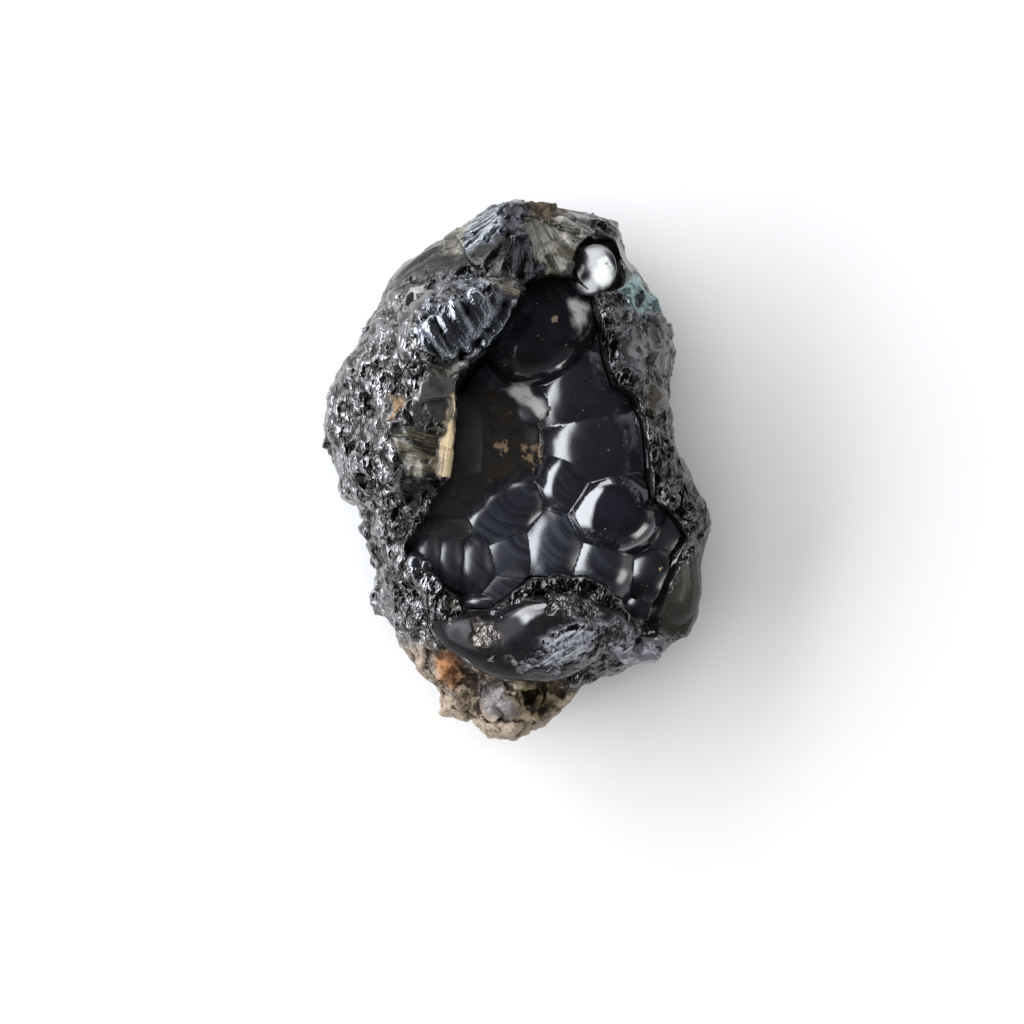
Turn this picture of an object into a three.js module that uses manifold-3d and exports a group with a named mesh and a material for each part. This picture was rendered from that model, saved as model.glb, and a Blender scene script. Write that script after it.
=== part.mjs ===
// Botryoidal hematite: a hand specimen of kidney ore, one natural piece.
//
// A broken lump lies on its back with its pocket open to the sky. Round, overlapping domes line
// the pocket. Round its mouth runs a broken rim: a fan of fibres at the far end, a fluted shoulder
// and a crusted flank on the left, a ragged ridge and a thin shell on the right, and at the near
// end a kidney-shaped lip above a knob of rusty matrix.
//
// Millimetres, +Z up, +X right, +Y to the far end. The origin is on the flat back, under the
// middle of the outline.

import * as THREE from "three";
import { ImprovedNoise } from "three/addons/math/ImprovedNoise.js";
import { MeshSurfaceSampler } from "three/addons/math/MeshSurfaceSampler.js";
import { mergeVertices } from "three/addons/utils/BufferGeometryUtils.js";
import Module from "manifold-3d";

// ---- Driving dimensions ----

// The specimen's real size, and the size that the lists below are drawn at. The drawn stone is
// stretched from the one to the other at the end.
const SIZE = { width: 72, length: 100, height: 50 };
const DRAWN = { width: 72, length: 100, height: 50 };

// How the lump stands: the height of its widest girth, and its flat back as a share of the outline.
const GIRTH_HEIGHT = 21.5;
const BACK_SHARE = 0.56;

// How square its shoulders and its underside are: 2 is round, and more is squarer.
const SHOULDER_POWER = 3.2;
const UNDERSIDE_POWER = 1.9;

// The outline seen from above, anticlockwise from the far end.
const OUTLINE = [
  [1, 50], [-6.5, 48], [-13, 42], [-19.5, 36.5], [-26, 30], [-31.5, 20], [-36, 9.5], [-35.5, 5],
  [-31.5, -4], [-28, -8], [-27.5, -13], [-26, -20.5], [-25.5, -26.5], [-20, -34], [-15, -41],
  [-8.5, -46], [-2.5, -50], [4, -48], [9.5, -44.5], [11, -41], [18.5, -37.5], [25.5, -36],
  [30, -32], [33.5, -26], [33.5, -18.5], [36, -12], [34.5, -6.5], [31.5, 0], [28.5, 8],
  [28.5, 16], [29, 24], [26.5, 30], [23.5, 36], [20, 40.5], [18, 45.5], [13, 47.5], [6, 49.5],
];

// The pocket's mouth seen from above, anticlockwise from the far end.
const MOUTH = [
  [6, 35.5], [2, 34], [0.5, 31], [-2, 26], [-5.5, 22], [-9, 19], [-11.5, 14.5], [-11, 10],
  [-12, 4], [-11.5, -0.5], [-15, -4.5], [-17.5, -10.5], [-20.5, -14], [-20.5, -17.5],
  [-16, -19], [-12, -23], [-9, -26.5], [-5, -26.5], [-1, -23.5], [3, -20.5], [13, -20.5],
  [16.5, -22.5], [20.5, -27], [24, -30], [27, -30.5], [27.5, -28], [29, -22], [31.5, -17],
  [33, -13.5], [30, -9], [25.5, -6], [25, 0], [24, 9], [22, 13.5], [18, 15.5], [16.5, 20.5],
  [15.5, 27], [14, 32], [9, 35.5],
];

// Levels of the pocket below its mouth: height, size as a share of the mouth, and slide to the left.
const POCKET_LEVELS = [
  [56, 1.0, 0], [38, 1.0, 0], [29, 0.95, 1], [23, 0.82, 2], [18, 0.5, 5],
];
const POCKET_MIDDLE = [8, 2];

// The lump's top before the pocket is cut, as spot heights: x, y and height.
const SPOT_HEIGHTS = [
  // the crusted left flank
  [-32, 9, 34], [-28, 14.5, 41], [-21.5, 9, 45], [-26.5, 0, 40], [-22.5, 22, 44],
  // the fluted shoulder and the fan of fibres at the far end
  [-16, 27.5, 46], [-8.5, 29.5, 48], [-3, 31, 46], [-14, 34, 43], [-12.5, 39.5, 41],
  [-7, 44, 38], [0.5, 48, 40], [-0.5, 39.5, 40], [-0.5, 34, 41], [8, 45, 38], [8, 37.5, 39],
  [15.5, 43, 39],
  // the right rim and the thin shell
  [23, 33, 40], [20, 24.5, 43], [26.5, 24, 37], [20, 16.5, 43], [25.5, 12.5, 40],
  [26, 3.5, 41], [26, -4, 40], [32, -9.5, 36], [34, -15, 34], [30, -22.5, 31], [28, -30, 27],
  [23, -33.5, 25],
  // the near end: the lip, the crust beside it and the matrix below it
  [15.5, -33.5, 33], [13.5, -24.5, 39], [4.5, -24.5, 40], [-7, -30, 37], [0.5, -36.5, 31],
  [-16, -24.5, 38], [-21.5, -24.5, 35], [-21.5, -17, 38], [-24.5, -11.5, 35],
  [-14, -39, 27], [-3, -43, 26], [5, -44.5, 24], [-8.5, -43, 24],
  // the inner edge of the left flank
  [-20.5, -7.5, 38], [-16, 0, 42], [-14, 9, 44], [-13.5, 16.5, 45], [-8.5, 22, 46],
];

// The domes that line the pocket: middle seen from above, height of the crown, half sizes and turn.
const DOMES = [
  { name: "far dome", at: [6, 26.5], crown: 36, half: [8, 11.5, 9], turn: -42 },
  { name: "bright bead", at: [15, 37], crown: 37, half: [4.8, 4.8, 4.5] },
  { name: "far bead", at: [-3.5, 18], crown: 26, half: [5.5, 5.5, 6] },
  { name: "far shaft", at: [14.5, 20.5], crown: 34, half: [8, 10, 9] },
  { name: "middle shaft", at: [17, 7], crown: 33.5, half: [9.5, 9, 10] },
  { name: "wall shaft", at: [23, 8], crown: 33, half: [8, 12, 10] },
  { name: "star far", at: [7, 15.5], crown: 28, half: [4, 4, 4] },
  { name: "star near", at: [6.5, 10.5], crown: 27, half: [4, 4, 4] },
  { name: "star left", at: [2.5, 14.5], crown: 25.5, half: [5, 3.5, 4] },
  { name: "star foot", at: [6.5, 3], crown: 26, half: [5, 5, 5] },
  { name: "brown floor", at: [-1, 7], crown: 27.5, half: [8, 11, 9], turn: -25 },
  { name: "brown wall", at: [-9.5, 7], crown: 30, half: [4, 10, 9] },
  { name: "brown slope", at: [-9, -4], crown: 28, half: [8, 7.5, 8] },
  { name: "deep floor", at: [-7, 16], crown: 19, half: [6, 7, 6] },
  { name: "banded dome", at: [-2, -8], crown: 30, half: [9.5, 7.5, 9] },
  { name: "middle dome", at: [9, -2.5], crown: 31, half: [7, 7.5, 8] },
  { name: "great dome", at: [18, -8], crown: 36, half: [8, 7.5, 8.5] },
  { name: "near dome", at: [7, -14], crown: 29.5, half: [7.5, 8, 8.5] },
  { name: "near left dome", at: [-2.5, -16], crown: 28.5, half: [6.5, 6, 7] },
  { name: "near right dome", at: [16.5, -18], crown: 29.5, half: [7.5, 8, 8.5] },
  { name: "shelf", at: [-12.5, -11.5], crown: 32, half: [8, 3.8, 5] },
  { name: "first pleat", at: [-8, -18], crown: 31.5, half: [4.5, 7, 7] },
  { name: "second pleat", at: [-12.5, -17.5], crown: 33, half: [3.5, 6.5, 6] },
  { name: "third pleat", at: [-16, -16], crown: 34, half: [3.2, 5.5, 5] },
  { name: "edge bead", at: [-19, -17.5], crown: 36.5, half: [2, 2, 3] },
  { name: "edge bead right", at: [-17, -18], crown: 36, half: [1.5, 1.5, 2.5] },
  { name: "fold under the lip", at: [-2.5, -22.5], crown: 29.5, half: [7, 4.5, 6] },
  { name: "crease dome", at: [-6, -25.5], crown: 30.5, half: [5, 2.5, 4] },
  { name: "shell dome", at: [28, -12], crown: 30, half: [8, 7, 8] },
  { name: "deep right dome", at: [25.5, -19.5], crown: 27.5, half: [6.5, 6.5, 7] },
  { name: "near corner dome", at: [23.5, -26.5], crown: 25.5, half: [6, 5.5, 6] },
];

// The small hollow that holds the bright bead, open at the top.
const BEAD_HOLLOW = { at: [16.7, 38.6], crown: 54, half: [6, 6.2, 13] };
const BEAD_HOLLOW_DETAIL = 2;

// The rolls on the rim. A route gives x, y, the height of the axis and the radius.
const ROLLS = [
  {
    name: "lip",
    route: [
      [-15.5, -28.5, 32, 4.5], [-10, -30.5, 33.5, 5.6], [-3.5, -32, 34, 7], [3.5, -31, 34.3, 8.4],
      [10, -29.5, 34.3, 8.6], [16, -29.5, 33.3, 7.6], [21.5, -33.5, 30.5, 5.5],
    ],
    ribs: 0,
    ribDepth: 0,
    steps: 15,
    sides: 12,
  },
  {
    name: "ridge behind the lip",
    route: [
      [-3, -25.5, 37.5, 1.8], [3, -21.8, 38.5, 2], [12, -21.2, 38.5, 2], [18, -25, 37, 2.2],
      [21.5, -31, 34, 1.8],
    ],
    ribs: 8,
    ribDepth: 0.18,
    steps: 20,
    sides: 6,
  },
  {
    name: "fluted shoulder",
    route: [
      [-23, 17, 39, 4], [-18, 21.5, 40, 7], [-12, 26.5, 41.2, 7.4], [-6, 30.5, 42, 5.6],
      [2, 33.5, 41.5, 2.4],
    ],
    ribs: 10,
    ribDepth: 0.07,
    steps: 24,
    sides: 10,
  },
];

// The fan of fibres at the far end: its apex, its reach, how far it rises towards the pocket and
// falls at its sides, the degrees that it spreads from and to, its ribs, and how deep it is rooted.
const FAN = {
  apex: [1.5, 48.5, 31],
  reach: [13.5, 15.5],
  rise: 12,
  sideFall: 3,
  spread: [200, 340],
  ribs: 9,
  ribDepth: 1,
  depth: 12,
};

// Flat breaks across the rim: a point of the break, its size, and the tilt of its block in degrees.
const BREAKS = [
  { name: "left of the fan", at: [-13, 41.5, 41], size: [17, 9], tilt: [-14, -20, 32] },
  { name: "fibrous left face", at: [-17, 3.5, 42.2], size: [12, 18], tilt: [4, 13, 6] },
  { name: "right rim face", at: [23.5, 26, 40], size: [11, 24], tilt: [-4, 20, 8] },
  { name: "end of the lip", at: [19, -36.5, 34.5], size: [17, 12], tilt: [32, 18, 30] },
  { name: "face of the matrix", at: [-12, -42, 24], size: [12, 10], tilt: [22, -24, 28] },
];
const BREAK_DEPTH = 16;

// Angular blocks that stand out of the matrix and the near right corner: x, y and radius.
const BLOCKS = [
  [-9.5, -40.5, 7.5], [-1, -43, 7], [5.5, -41, 6], [-14.5, -34.5, 6], [24.5, -32.5, 5.5],
];

// Knobs of the ragged right ridge: x, y and radius.
const KNOBS = [
  [24.5, 13, 3], [26, 10, 2.6], [25.5, 7, 2.4], [26.5, 3.5, 2.8], [26.5, -3.5, 3],
  [28, -6, 3.2], [31.5, -8.5, 3], [17.5, 24, 2.4], [20.5, 16.5, 2.8],
];

// Pits: x, y and radius.
const PITS = [
  [1.5, -42, 2.6], [-28, 12, 2.2], [-30.5, 4, 2], [-22.5, -9, 1.8], [-19, 31, 1.8], [-28.5, -2, 1.8],
];

// The crust's grains: how many, how large, and the part of the left flank that they cover.
const GRAIN_COUNT = 36;
const GRAIN_RADIUS = [1.8, 3.6];
const CRUST = { right: -15, near: -34, far: 27, low: 12 };

// How deep grains, knobs and blocks are sunk, as a share of their radius, and how much they are
// stretched along each of their axes.
const GRAIN_SUNK = 0.45;
const GRAIN_STRETCH = [[0.75, 1.35], [0.75, 1.35], [0.6, 1]];

// Lumps and dents all over: the size and the depth of each kind.
const LUMPS = [[11, 1.5], [4.6, 0.75], [2.3, 0.9]];

// How blunt a roll's ends are: 1 is pointed like an egg, and less is blunter.
const ROLL_END_POWER = 0.38;

// Domes with a half width over these sizes are drawn with finer faces, one step finer each time.
const FINER_DOMES = [3.6, 8.5];

// How finely the lump and the mouth are drawn. Shares run from the middle out to the outline.
const LUMP_SIDES = 64;
const TOP_SHARES = [0.3, 0.5, 0.6, 0.68, 0.76, 0.83, 0.89, 0.94, 0.98];
const UNDER_SHARES = [1, 0.97, 0.9, 0.8, 0.68];
const FAN_SHARES = [0.15, 0.4, 0.7, 1];
const MOUTH_POINTS = 44;

// How far one spot height blends into the next, as a squared distance.
const SPOT_BLEND = 3;

// A number that starts each run of random draws.
const SEEDS = { crust: 11, blocks: 21, knobs: 5, pits: 3 };

// ---- Shared tools ----

const wasm = await Module();
wasm.setup();

const noise = new ImprovedNoise();

const isCrusted = (p) => p.x < CRUST.right && p.y > CRUST.near && p.y < CRUST.far && p.z > CRUST.low;

// Repeatable random numbers from 0 to 1.
function seededRandom(seed) {
  const [factor, step, range] = [1664525, 1013904223, 2 ** 32];
  let state = seed;
  return () => {
    state = (state * factor + step) % range;
    return state / range;
  };
}

// A closed three.js geometry as a solid.
function toSolid(geometry) {
  const bare = new THREE.BufferGeometry();
  bare.setAttribute("position", geometry.getAttribute("position"));
  if (geometry.index) bare.setIndex(geometry.index);
  const merged = mergeVertices(bare, 1e-4);
  const vertProperties = merged.getAttribute("position").array;
  const triVerts = new Uint32Array(merged.index.array);
  return new wasm.Manifold(new wasm.Mesh({ numProp: 3, vertProperties, triVerts }));
}

function toGeometry(solid) {
  const mesh = solid.getMesh();
  const geometry = new THREE.BufferGeometry();
  geometry.setAttribute("position", new THREE.BufferAttribute(mesh.vertProperties, 3));
  geometry.setIndex(new THREE.BufferAttribute(mesh.triVerts, 1));
  geometry.computeVertexNormals();
  return geometry;
}

const joined = (solids) => solids.reduce((sum, solid) => sum.add(solid));

function closedCurve(points) {
  return new THREE.CatmullRomCurve3(points.map(([x, y]) => new THREE.Vector3(x, y, 0)), true);
}

// A closed skin over rings of equally many points, from the top ring out and down to the last.
function ringedGeometry(rings) {
  const sides = rings[0].length;
  const index = [];
  const flatten = (ring) => ring.map((p) => new THREE.Vector2(p.x, p.y));
  THREE.ShapeUtils.triangulateShape(flatten(rings[0]), []).forEach((face) => index.push(...face));
  for (let k = 0; k + 1 < rings.length; k++) {
    for (let j = 0; j < sides; j++) {
      const [a, b] = [k * sides + j, k * sides + ((j + 1) % sides)];
      index.push(a, a + sides, b + sides, a, b + sides, b);
    }
  }
  const last = (rings.length - 1) * sides;
  THREE.ShapeUtils.triangulateShape(flatten(rings.at(-1)), []).forEach(([a, b, c]) =>
    index.push(last + c, last + b, last + a),
  );
  const geometry = new THREE.BufferGeometry().setFromPoints(rings.flat());
  return geometry.setIndex(index);
}

// ---- The lump ----

// How far the outline reaches from the middle, at each whole degree.
const REACH = (() => {
  const reach = new Array(360).fill(0);
  for (const p of closedCurve(OUTLINE).getSpacedPoints(1440)) {
    const degree = Math.round(THREE.MathUtils.radToDeg(Math.atan2(p.y, p.x)) + 360) % 360;
    reach[degree] = Math.max(reach[degree], Math.hypot(p.x, p.y));
  }
  return reach;
})();

function outlineReach(angle) {
  const degrees = (THREE.MathUtils.radToDeg(angle) + 720) % 360;
  const low = Math.floor(degrees);
  return THREE.MathUtils.lerp(REACH[low % 360], REACH[(low + 1) % 360], degrees - low);
}

// The height that the spot heights give, before the shoulders are rounded.
function spotHeight(x, y) {
  let [sum, weight] = [0, 0];
  for (const [sx, sy, height] of SPOT_HEIGHTS) {
    const near = 1 / ((x - sx) ** 2 + (y - sy) ** 2 + SPOT_BLEND) ** 2;
    sum += near * height;
    weight += near;
  }
  return sum / weight;
}

// The top of the lump at a share of the way from the middle to the outline.
function shoulderHeight(x, y, share) {
  const roundness = (1 - Math.min(share, 1) ** SHOULDER_POWER) ** (1 / SHOULDER_POWER);
  return THREE.MathUtils.lerp(GIRTH_HEIGHT, spotHeight(x, y), roundness);
}

function topHeight(x, y) {
  return shoulderHeight(x, y, Math.hypot(x, y) / outlineReach(Math.atan2(y, x)));
}

// The underside's height at a share of the way out, from the flat back up to the girth.
function undersideHeight(share) {
  const out = (share - BACK_SHARE) / (1 - BACK_SHARE);
  return GIRTH_HEIGHT * (1 - (1 - out ** UNDERSIDE_POWER) ** (1 / UNDERSIDE_POWER));
}

// Moves a point of the lump by its lumps and dents.
function roughened(point) {
  const shift = new THREE.Vector3();
  for (const [size, depth] of LUMPS) {
    const [u, v, w] = point.toArray().map((c) => c / size);
    shift.x += depth * noise.noise(u + 5.3, v, w);
    shift.y += depth * noise.noise(u, v + 7.7, w);
    shift.z += depth * noise.noise(u, v, w + 3.1);
  }
  return shift.add(point);
}

function lump() {
  const ring = (share, height, rough) =>
    Array.from({ length: LUMP_SIDES }, (_, j) => {
      const angle = (2 * Math.PI * j) / LUMP_SIDES;
      const reach = share * outlineReach(angle);
      const [x, y] = [reach * Math.cos(angle), reach * Math.sin(angle)];
      const point = new THREE.Vector3(x, y, height(x, y));
      return rough ? roughened(point) : point;
    });
  const rings = [
    ...TOP_SHARES.map((s) => ring(s, (x, y) => shoulderHeight(x, y, s), true)),
    ...UNDER_SHARES.map((s) => ring(s, () => undersideHeight(s), true)),
    ring(BACK_SHARE, () => 0, false),
  ];
  return toSolid(ringedGeometry(rings));
}

// ---- What is added to the lump ----

// A round swelling, such as a dome or a part of the lip.
function swelling({ at, crown, half, turn = 0 }, detail) {
  const geometry = new THREE.IcosahedronGeometry(1, detail);
  geometry.scale(...half);
  geometry.rotateZ(THREE.MathUtils.degToRad(turn));
  geometry.translate(...at, crown - half[2]);
  return toSolid(geometry);
}

// A smooth roll with round ends, bent along its route, with ribs round it.
function roll({ route, ribs, ribDepth, steps, sides }) {
  const axis = new THREE.CatmullRomCurve3(route.map(([x, y, z]) => new THREE.Vector3(x, y, z)));
  const girth = new THREE.SplineCurve(route.map(([, , , radius]) => new THREE.Vector2(radius, 0)));
  const up = new THREE.Vector3(0, 0, 1);
  const geometry = new THREE.SphereGeometry(1, sides, steps);
  const position = geometry.getAttribute("position");
  for (let i = 0; i < position.count; i++) {
    const [x, y, z] = [position.getX(i), position.getY(i), position.getZ(i)];
    const share = Math.acos(THREE.MathUtils.clamp(y, -1, 1)) / Math.PI;
    const tangent = axis.getTangent(share);
    const side = new THREE.Vector3().crossVectors(up, tangent).normalize();
    const rise = new THREE.Vector3().crossVectors(tangent, side);
    const wave = 1 + ribDepth * Math.cos(2 * Math.PI * ribs * share);
    const radius = girth.getPoint(share).x * wave * Math.hypot(x, z) ** ROLL_END_POWER;
    const turn = Math.atan2(z, x);
    const point = axis.getPoint(share);
    point.addScaledVector(side, radius * Math.cos(turn));
    point.addScaledVector(rise, radius * Math.sin(turn));
    position.setXYZ(i, ...point.toArray());
  }
  return toSolid(geometry);
}

// The fan: a break that rises from its apex towards the pocket, with ribs that spread from there.
function fan() {
  const { apex, reach, rise, sideFall, spread, ribs, ribDepth, depth } = FAN;
  const [ax, ay, az] = apex;
  const [rx, ry] = reach;
  const points = 2 * ribs + 1;
  const ring = (share, base) =>
    Array.from({ length: points }, (_, j) => {
      const angle = THREE.MathUtils.degToRad(THREE.MathUtils.lerp(...spread, j / (points - 1)));
      const across = share * Math.cos(angle);
      const near = -share * Math.sin(angle);
      const lift = rise * (1 - (1 - near) ** 2) - sideFall * across ** 2;
      const rib = j % 2 ? -ribDepth * share : 0;
      return new THREE.Vector3(ax + rx * across, ay - ry * near, base + lift + rib);
    });
  const top = FAN_SHARES.map((share) => ring(share, az));
  return toSolid(ringedGeometry([...top, ring(1, az - depth)]));
}

// A small angular grain, knob or block, stretched and turned at random.
function grain([x, y, z, radius], random) {
  const stretch = GRAIN_STRETCH.map(([least, most]) => THREE.MathUtils.lerp(least, most, random()));
  const geometry = new THREE.IcosahedronGeometry(radius);
  geometry.scale(...stretch);
  geometry.rotateX(Math.PI * random());
  geometry.rotateZ(Math.PI * random());
  geometry.translate(x, y, z);
  return toSolid(geometry);
}

// A grain at each place of a list, sunk in the lump's top by a share of its radius.
function grainsOnTop(places, seed) {
  const random = seededRandom(seed);
  return joined(
    places.map(([x, y, radius]) =>
      grain([x, y, topHeight(x, y) - GRAIN_SUNK * radius, radius], random),
    ),
  );
}

function crustGrains(lumpSolid) {
  const random = seededRandom(SEEDS.crust);
  const surface = new THREE.Mesh(toGeometry(lumpSolid));
  const sampler = new MeshSurfaceSampler(surface).setRandomGenerator(random).build();
  const spot = new THREE.Vector3();
  const outward = new THREE.Vector3();
  const crust = [];
  while (crust.length < GRAIN_COUNT) {
    sampler.sample(spot, outward);
    if (!isCrusted(spot)) continue;
    const radius = THREE.MathUtils.lerp(...GRAIN_RADIUS, random());
    spot.addScaledVector(outward, -GRAIN_SUNK * radius);
    crust.push(grain([...spot.toArray(), radius], random));
  }
  return joined(crust);
}

// ---- What is taken away ----

function breaks() {
  return joined(
    BREAKS.map(({ at, size, tilt }) => {
      const geometry = new THREE.BoxGeometry(...size, BREAK_DEPTH);
      geometry.translate(0, 0, BREAK_DEPTH / 2);
      const turn = new THREE.Euler(...tilt.map(THREE.MathUtils.degToRad));
      geometry.applyQuaternion(new THREE.Quaternion().setFromEuler(turn));
      geometry.translate(...at);
      return toSolid(geometry);
    }),
  );
}

// The pocket: the mouth carried down level by level, less the domes that stand in it.
function pocket() {
  const mouth = closedCurve(MOUTH).getSpacedPoints(MOUTH_POINTS).slice(0, MOUTH_POINTS);
  const [mx, my] = POCKET_MIDDLE;
  const rings = POCKET_LEVELS.map(([height, share, slide]) =>
    mouth.map(
      (p) => new THREE.Vector3(mx - slide + share * (p.x - mx), my + share * (p.y - my), height),
    ),
  );
  const hollow = toSolid(ringedGeometry(rings));
  const detail = ({ half }) => 1 + FINER_DOMES.filter((size) => half[0] > size).length;
  const domes = joined(DOMES.map((dome) => swelling(dome, detail(dome))));
  return hollow.add(swelling(BEAD_HOLLOW, BEAD_HOLLOW_DETAIL)).subtract(domes);
}

// ---- The specimen ----

// The largest body of the cut stone. A crumb that a cut leaves loose beside it is dropped.
function specimen() {
  const bare = lump();
  const broken = bare.add(grainsOnTop(KNOBS, SEEDS.knobs)).subtract(breaks());
  const blocks = grainsOnTop(BLOCKS, SEEDS.blocks);
  const whole = joined([broken, crustGrains(bare), blocks, fan(), ...ROLLS.map(roll)]);
  const cut = whole.subtract(grainsOnTop(PITS, SEEDS.pits)).subtract(pocket());
  return cut.decompose().sort((a, b) => b.volume() - a.volume())[0];
}

const geometry = toGeometry(specimen()).scale(
  SIZE.width / DRAWN.width,
  SIZE.length / DRAWN.length,
  SIZE.height / DRAWN.height,
);
const hematite = new THREE.Mesh(
  geometry,
  new THREE.MeshStandardMaterial({ color: 0x1d1e21, roughness: 0.25, metalness: 0.8 }),
);
hematite.name = "hematite";

const group = new THREE.Group();
group.add(hematite);

export default group;
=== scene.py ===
"""Botryoidal hematite: a hand specimen of kidney ore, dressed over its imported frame.

The stone lies on its flat back with its pocket open to the sky. Metres, +Z up, +Y to the far end.
Lists of places and sizes are in millimetres, as the stone is drawn, and MM turns them into metres.
"""

import math
from typing import NamedTuple

import bpy
import numpy as np
from mathutils import Matrix, Vector

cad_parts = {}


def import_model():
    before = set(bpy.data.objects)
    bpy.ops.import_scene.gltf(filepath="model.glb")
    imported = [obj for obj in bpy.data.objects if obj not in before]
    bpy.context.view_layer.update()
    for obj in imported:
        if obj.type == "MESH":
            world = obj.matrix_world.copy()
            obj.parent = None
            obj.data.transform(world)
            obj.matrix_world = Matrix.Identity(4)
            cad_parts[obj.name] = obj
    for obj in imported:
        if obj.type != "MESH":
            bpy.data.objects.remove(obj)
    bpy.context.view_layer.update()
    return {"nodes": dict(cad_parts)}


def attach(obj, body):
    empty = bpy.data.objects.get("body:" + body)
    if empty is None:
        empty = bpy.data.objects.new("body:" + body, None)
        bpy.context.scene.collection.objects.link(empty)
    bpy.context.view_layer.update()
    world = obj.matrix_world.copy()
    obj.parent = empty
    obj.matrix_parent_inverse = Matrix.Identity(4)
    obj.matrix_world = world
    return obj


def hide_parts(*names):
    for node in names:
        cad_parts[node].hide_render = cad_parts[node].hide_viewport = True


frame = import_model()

MM = 0.001

# ---- Places and sizes, in millimetres ----

# The pocket's mouth seen from above, anticlockwise from the far end, and the pocket's levels:
# height, size as a share of the mouth, and slide to the left.
MOUTH = [
    (6, 35.5), (2, 34), (0.5, 31), (-2, 26), (-5.5, 22), (-9, 19), (-11.5, 14.5), (-11, 10),
    (-12, 4), (-11.5, -0.5), (-15, -4.5), (-17.5, -10.5), (-20.5, -14), (-20.5, -17.5),
    (-16, -19), (-12, -23), (-9, -26.5), (-5, -26.5), (-1, -23.5), (3, -20.5), (13, -20.5),
    (16.5, -22.5), (20.5, -27), (24, -30), (27, -30.5), (27.5, -28), (29, -22), (31.5, -17),
    (33, -13.5), (30, -9), (25.5, -6), (25, 0), (24, 9), (22, 13.5), (18, 15.5), (16.5, 20.5),
    (15.5, 27), (14, 32), (9, 35.5),
]
POCKET_TOP = 44
POCKET_LEVELS = [
    (POCKET_TOP, 1.0, 0), (38, 1.0, 0), (29, 0.95, 1), (23, 0.82, 2), (18, 0.5, 5),
]
POCKET_MIDDLE = (8, 2)
LEVEL_GAP = 0.01  # what is kept between two levels that are cut off at one height

# The small hollow that holds the bright bead: its middle and half sizes.
BEAD_HOLLOW = ((16.7, 38.6, 41), (6, 6.2, 13))
BEAD_HOLLOW_DETAIL = 4


class Dome(NamedTuple):
    """A dome of the pocket's lining: its place and shape in millimetres, and its finish.

    It is turned about the upright and then leans towards an azimuth by an angle, all in degrees.
    The tone goes from 0, a black mirror, to 1, a satin blue-grey. The dust is ochre-brown.
    """
    middle: tuple
    crown: float
    half: tuple
    rough: float = 0.16
    tone: float = 0.2
    dust: float = 0
    turn: float = 0
    lean: tuple = (0, 0)


DOMES = {
    "far dome": Dome((5.4, 26.8), 35.6, (10.2, 13.2, 9), 0.07, 0, turn=-42),
    "bead body": Dome((14.4, 36.4), 36.2, (4.8, 4.8, 8), 0.07, 0),
    "bright bead": Dome((13.8, 36.7), 37.6, (5, 4.9, 1.2), 0.28, 0, lean=(160, 29)),
    "far bead": Dome((-3.2, 17.6), 27.5, (7.5, 7.5, 7.5), 0.2),
    "far wall": Dome((17, 27), 31, (16, 16, 16)),
    "far shaft": Dome((13, 14.5), 32, (16, 16, 16)),
    "middle shaft": Dome((15, 3.8), 32.2, (16, 16, 16)),
    "wall shaft": Dome((30, 6), 31.3, (20, 22, 20)),
    "star": Dome((1.5, 13), 29.7, (5.4, 4.2, 1.6), 0.3, 0.5, turn=-40, lean=(150, 20)),
    "brown floor": Dome((-4.5, 4.5), 30.6, (15, 16, 15), 0.26, 0.2, 1, turn=-25),
    "brown wall": Dome((-10, 4.5), 31.6, (6.5, 10.5, 7), 0.55, 0.2, 0.6),
    "brown slope": Dome((-12.5, -5.5), 31.5, (16, 12, 14), 0.26, 0.2, 0.7, turn=25),
    "deep floor": Dome((-7, 16), 21, (6, 7, 6)),
    "banded dome": Dome((-3.2, -8.7), 32.3, (13, 8.8, 10.2), 0.17, 0.7, turn=28),
    "middle dome": Dome((9.2, -2.4), 31.9, (7.4, 8.4, 8.2), 0.14, 0.35),
    "great dome": Dome((18.5, -8), 33.7, (10.8, 9.9, 9.8), 0.07, 0),
    "near dome": Dome((6.8, -14.6), 31.7, (9.3, 11, 10.5), 0.27, 0.9),
    "near left dome": Dome((-1.6, -15.6), 31.4, (9, 9, 9.5), 0.3, 0.8),
    "near right dome": Dome((15.6, -18.3), 31.2, (9.8, 10.6, 11), 0.2, 0.55),
    "shelf": Dome((-14.5, -11.8), 33, (8.5, 4.3, 6), 0.28, 0.5, 0.6, turn=8),
    "first pleat": Dome((-7.8, -18), 32.5, (5.2, 7.5, 7.5), 0.34, 0.6),
    "second pleat": Dome((-12.8, -17.2), 33.4, (4.3, 6.8, 6.5), 0.36, 0.6),
    "third pleat": Dome((-16.6, -16), 34.3, (3.6, 5.6, 5.5), 0.4, 0.5),
    "edge bead": Dome((-19, -17.5), 36.5, (2.2, 2.2, 3)),
    "edge bead right": Dome((-17, -18), 36, (1.7, 1.7, 2.5)),
    "fold under the lip": Dome((-2.5, -23), 31, (9, 6, 8), 0.25, 0.6),
    "crease dome": Dome((-6, -25.5), 31.5, (6, 3, 5), 0.25, 0.6),
    "shell dome": Dome((28.3, -11.8), 28.8, (9.5, 8.5, 9.5), 0.3, 0),
    "deep right dome": Dome((25.3, -19.8), 29.6, (8, 8.5, 9), 0.24, 0),
    "near corner dome": Dome((24, -26.8), 28, (7.5, 7, 8), 0.2, 0),
}
GROWTH_POLE = np.array([0.44, 0.5, 0.746])  # the direction that each dome's growth bands run round

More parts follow.
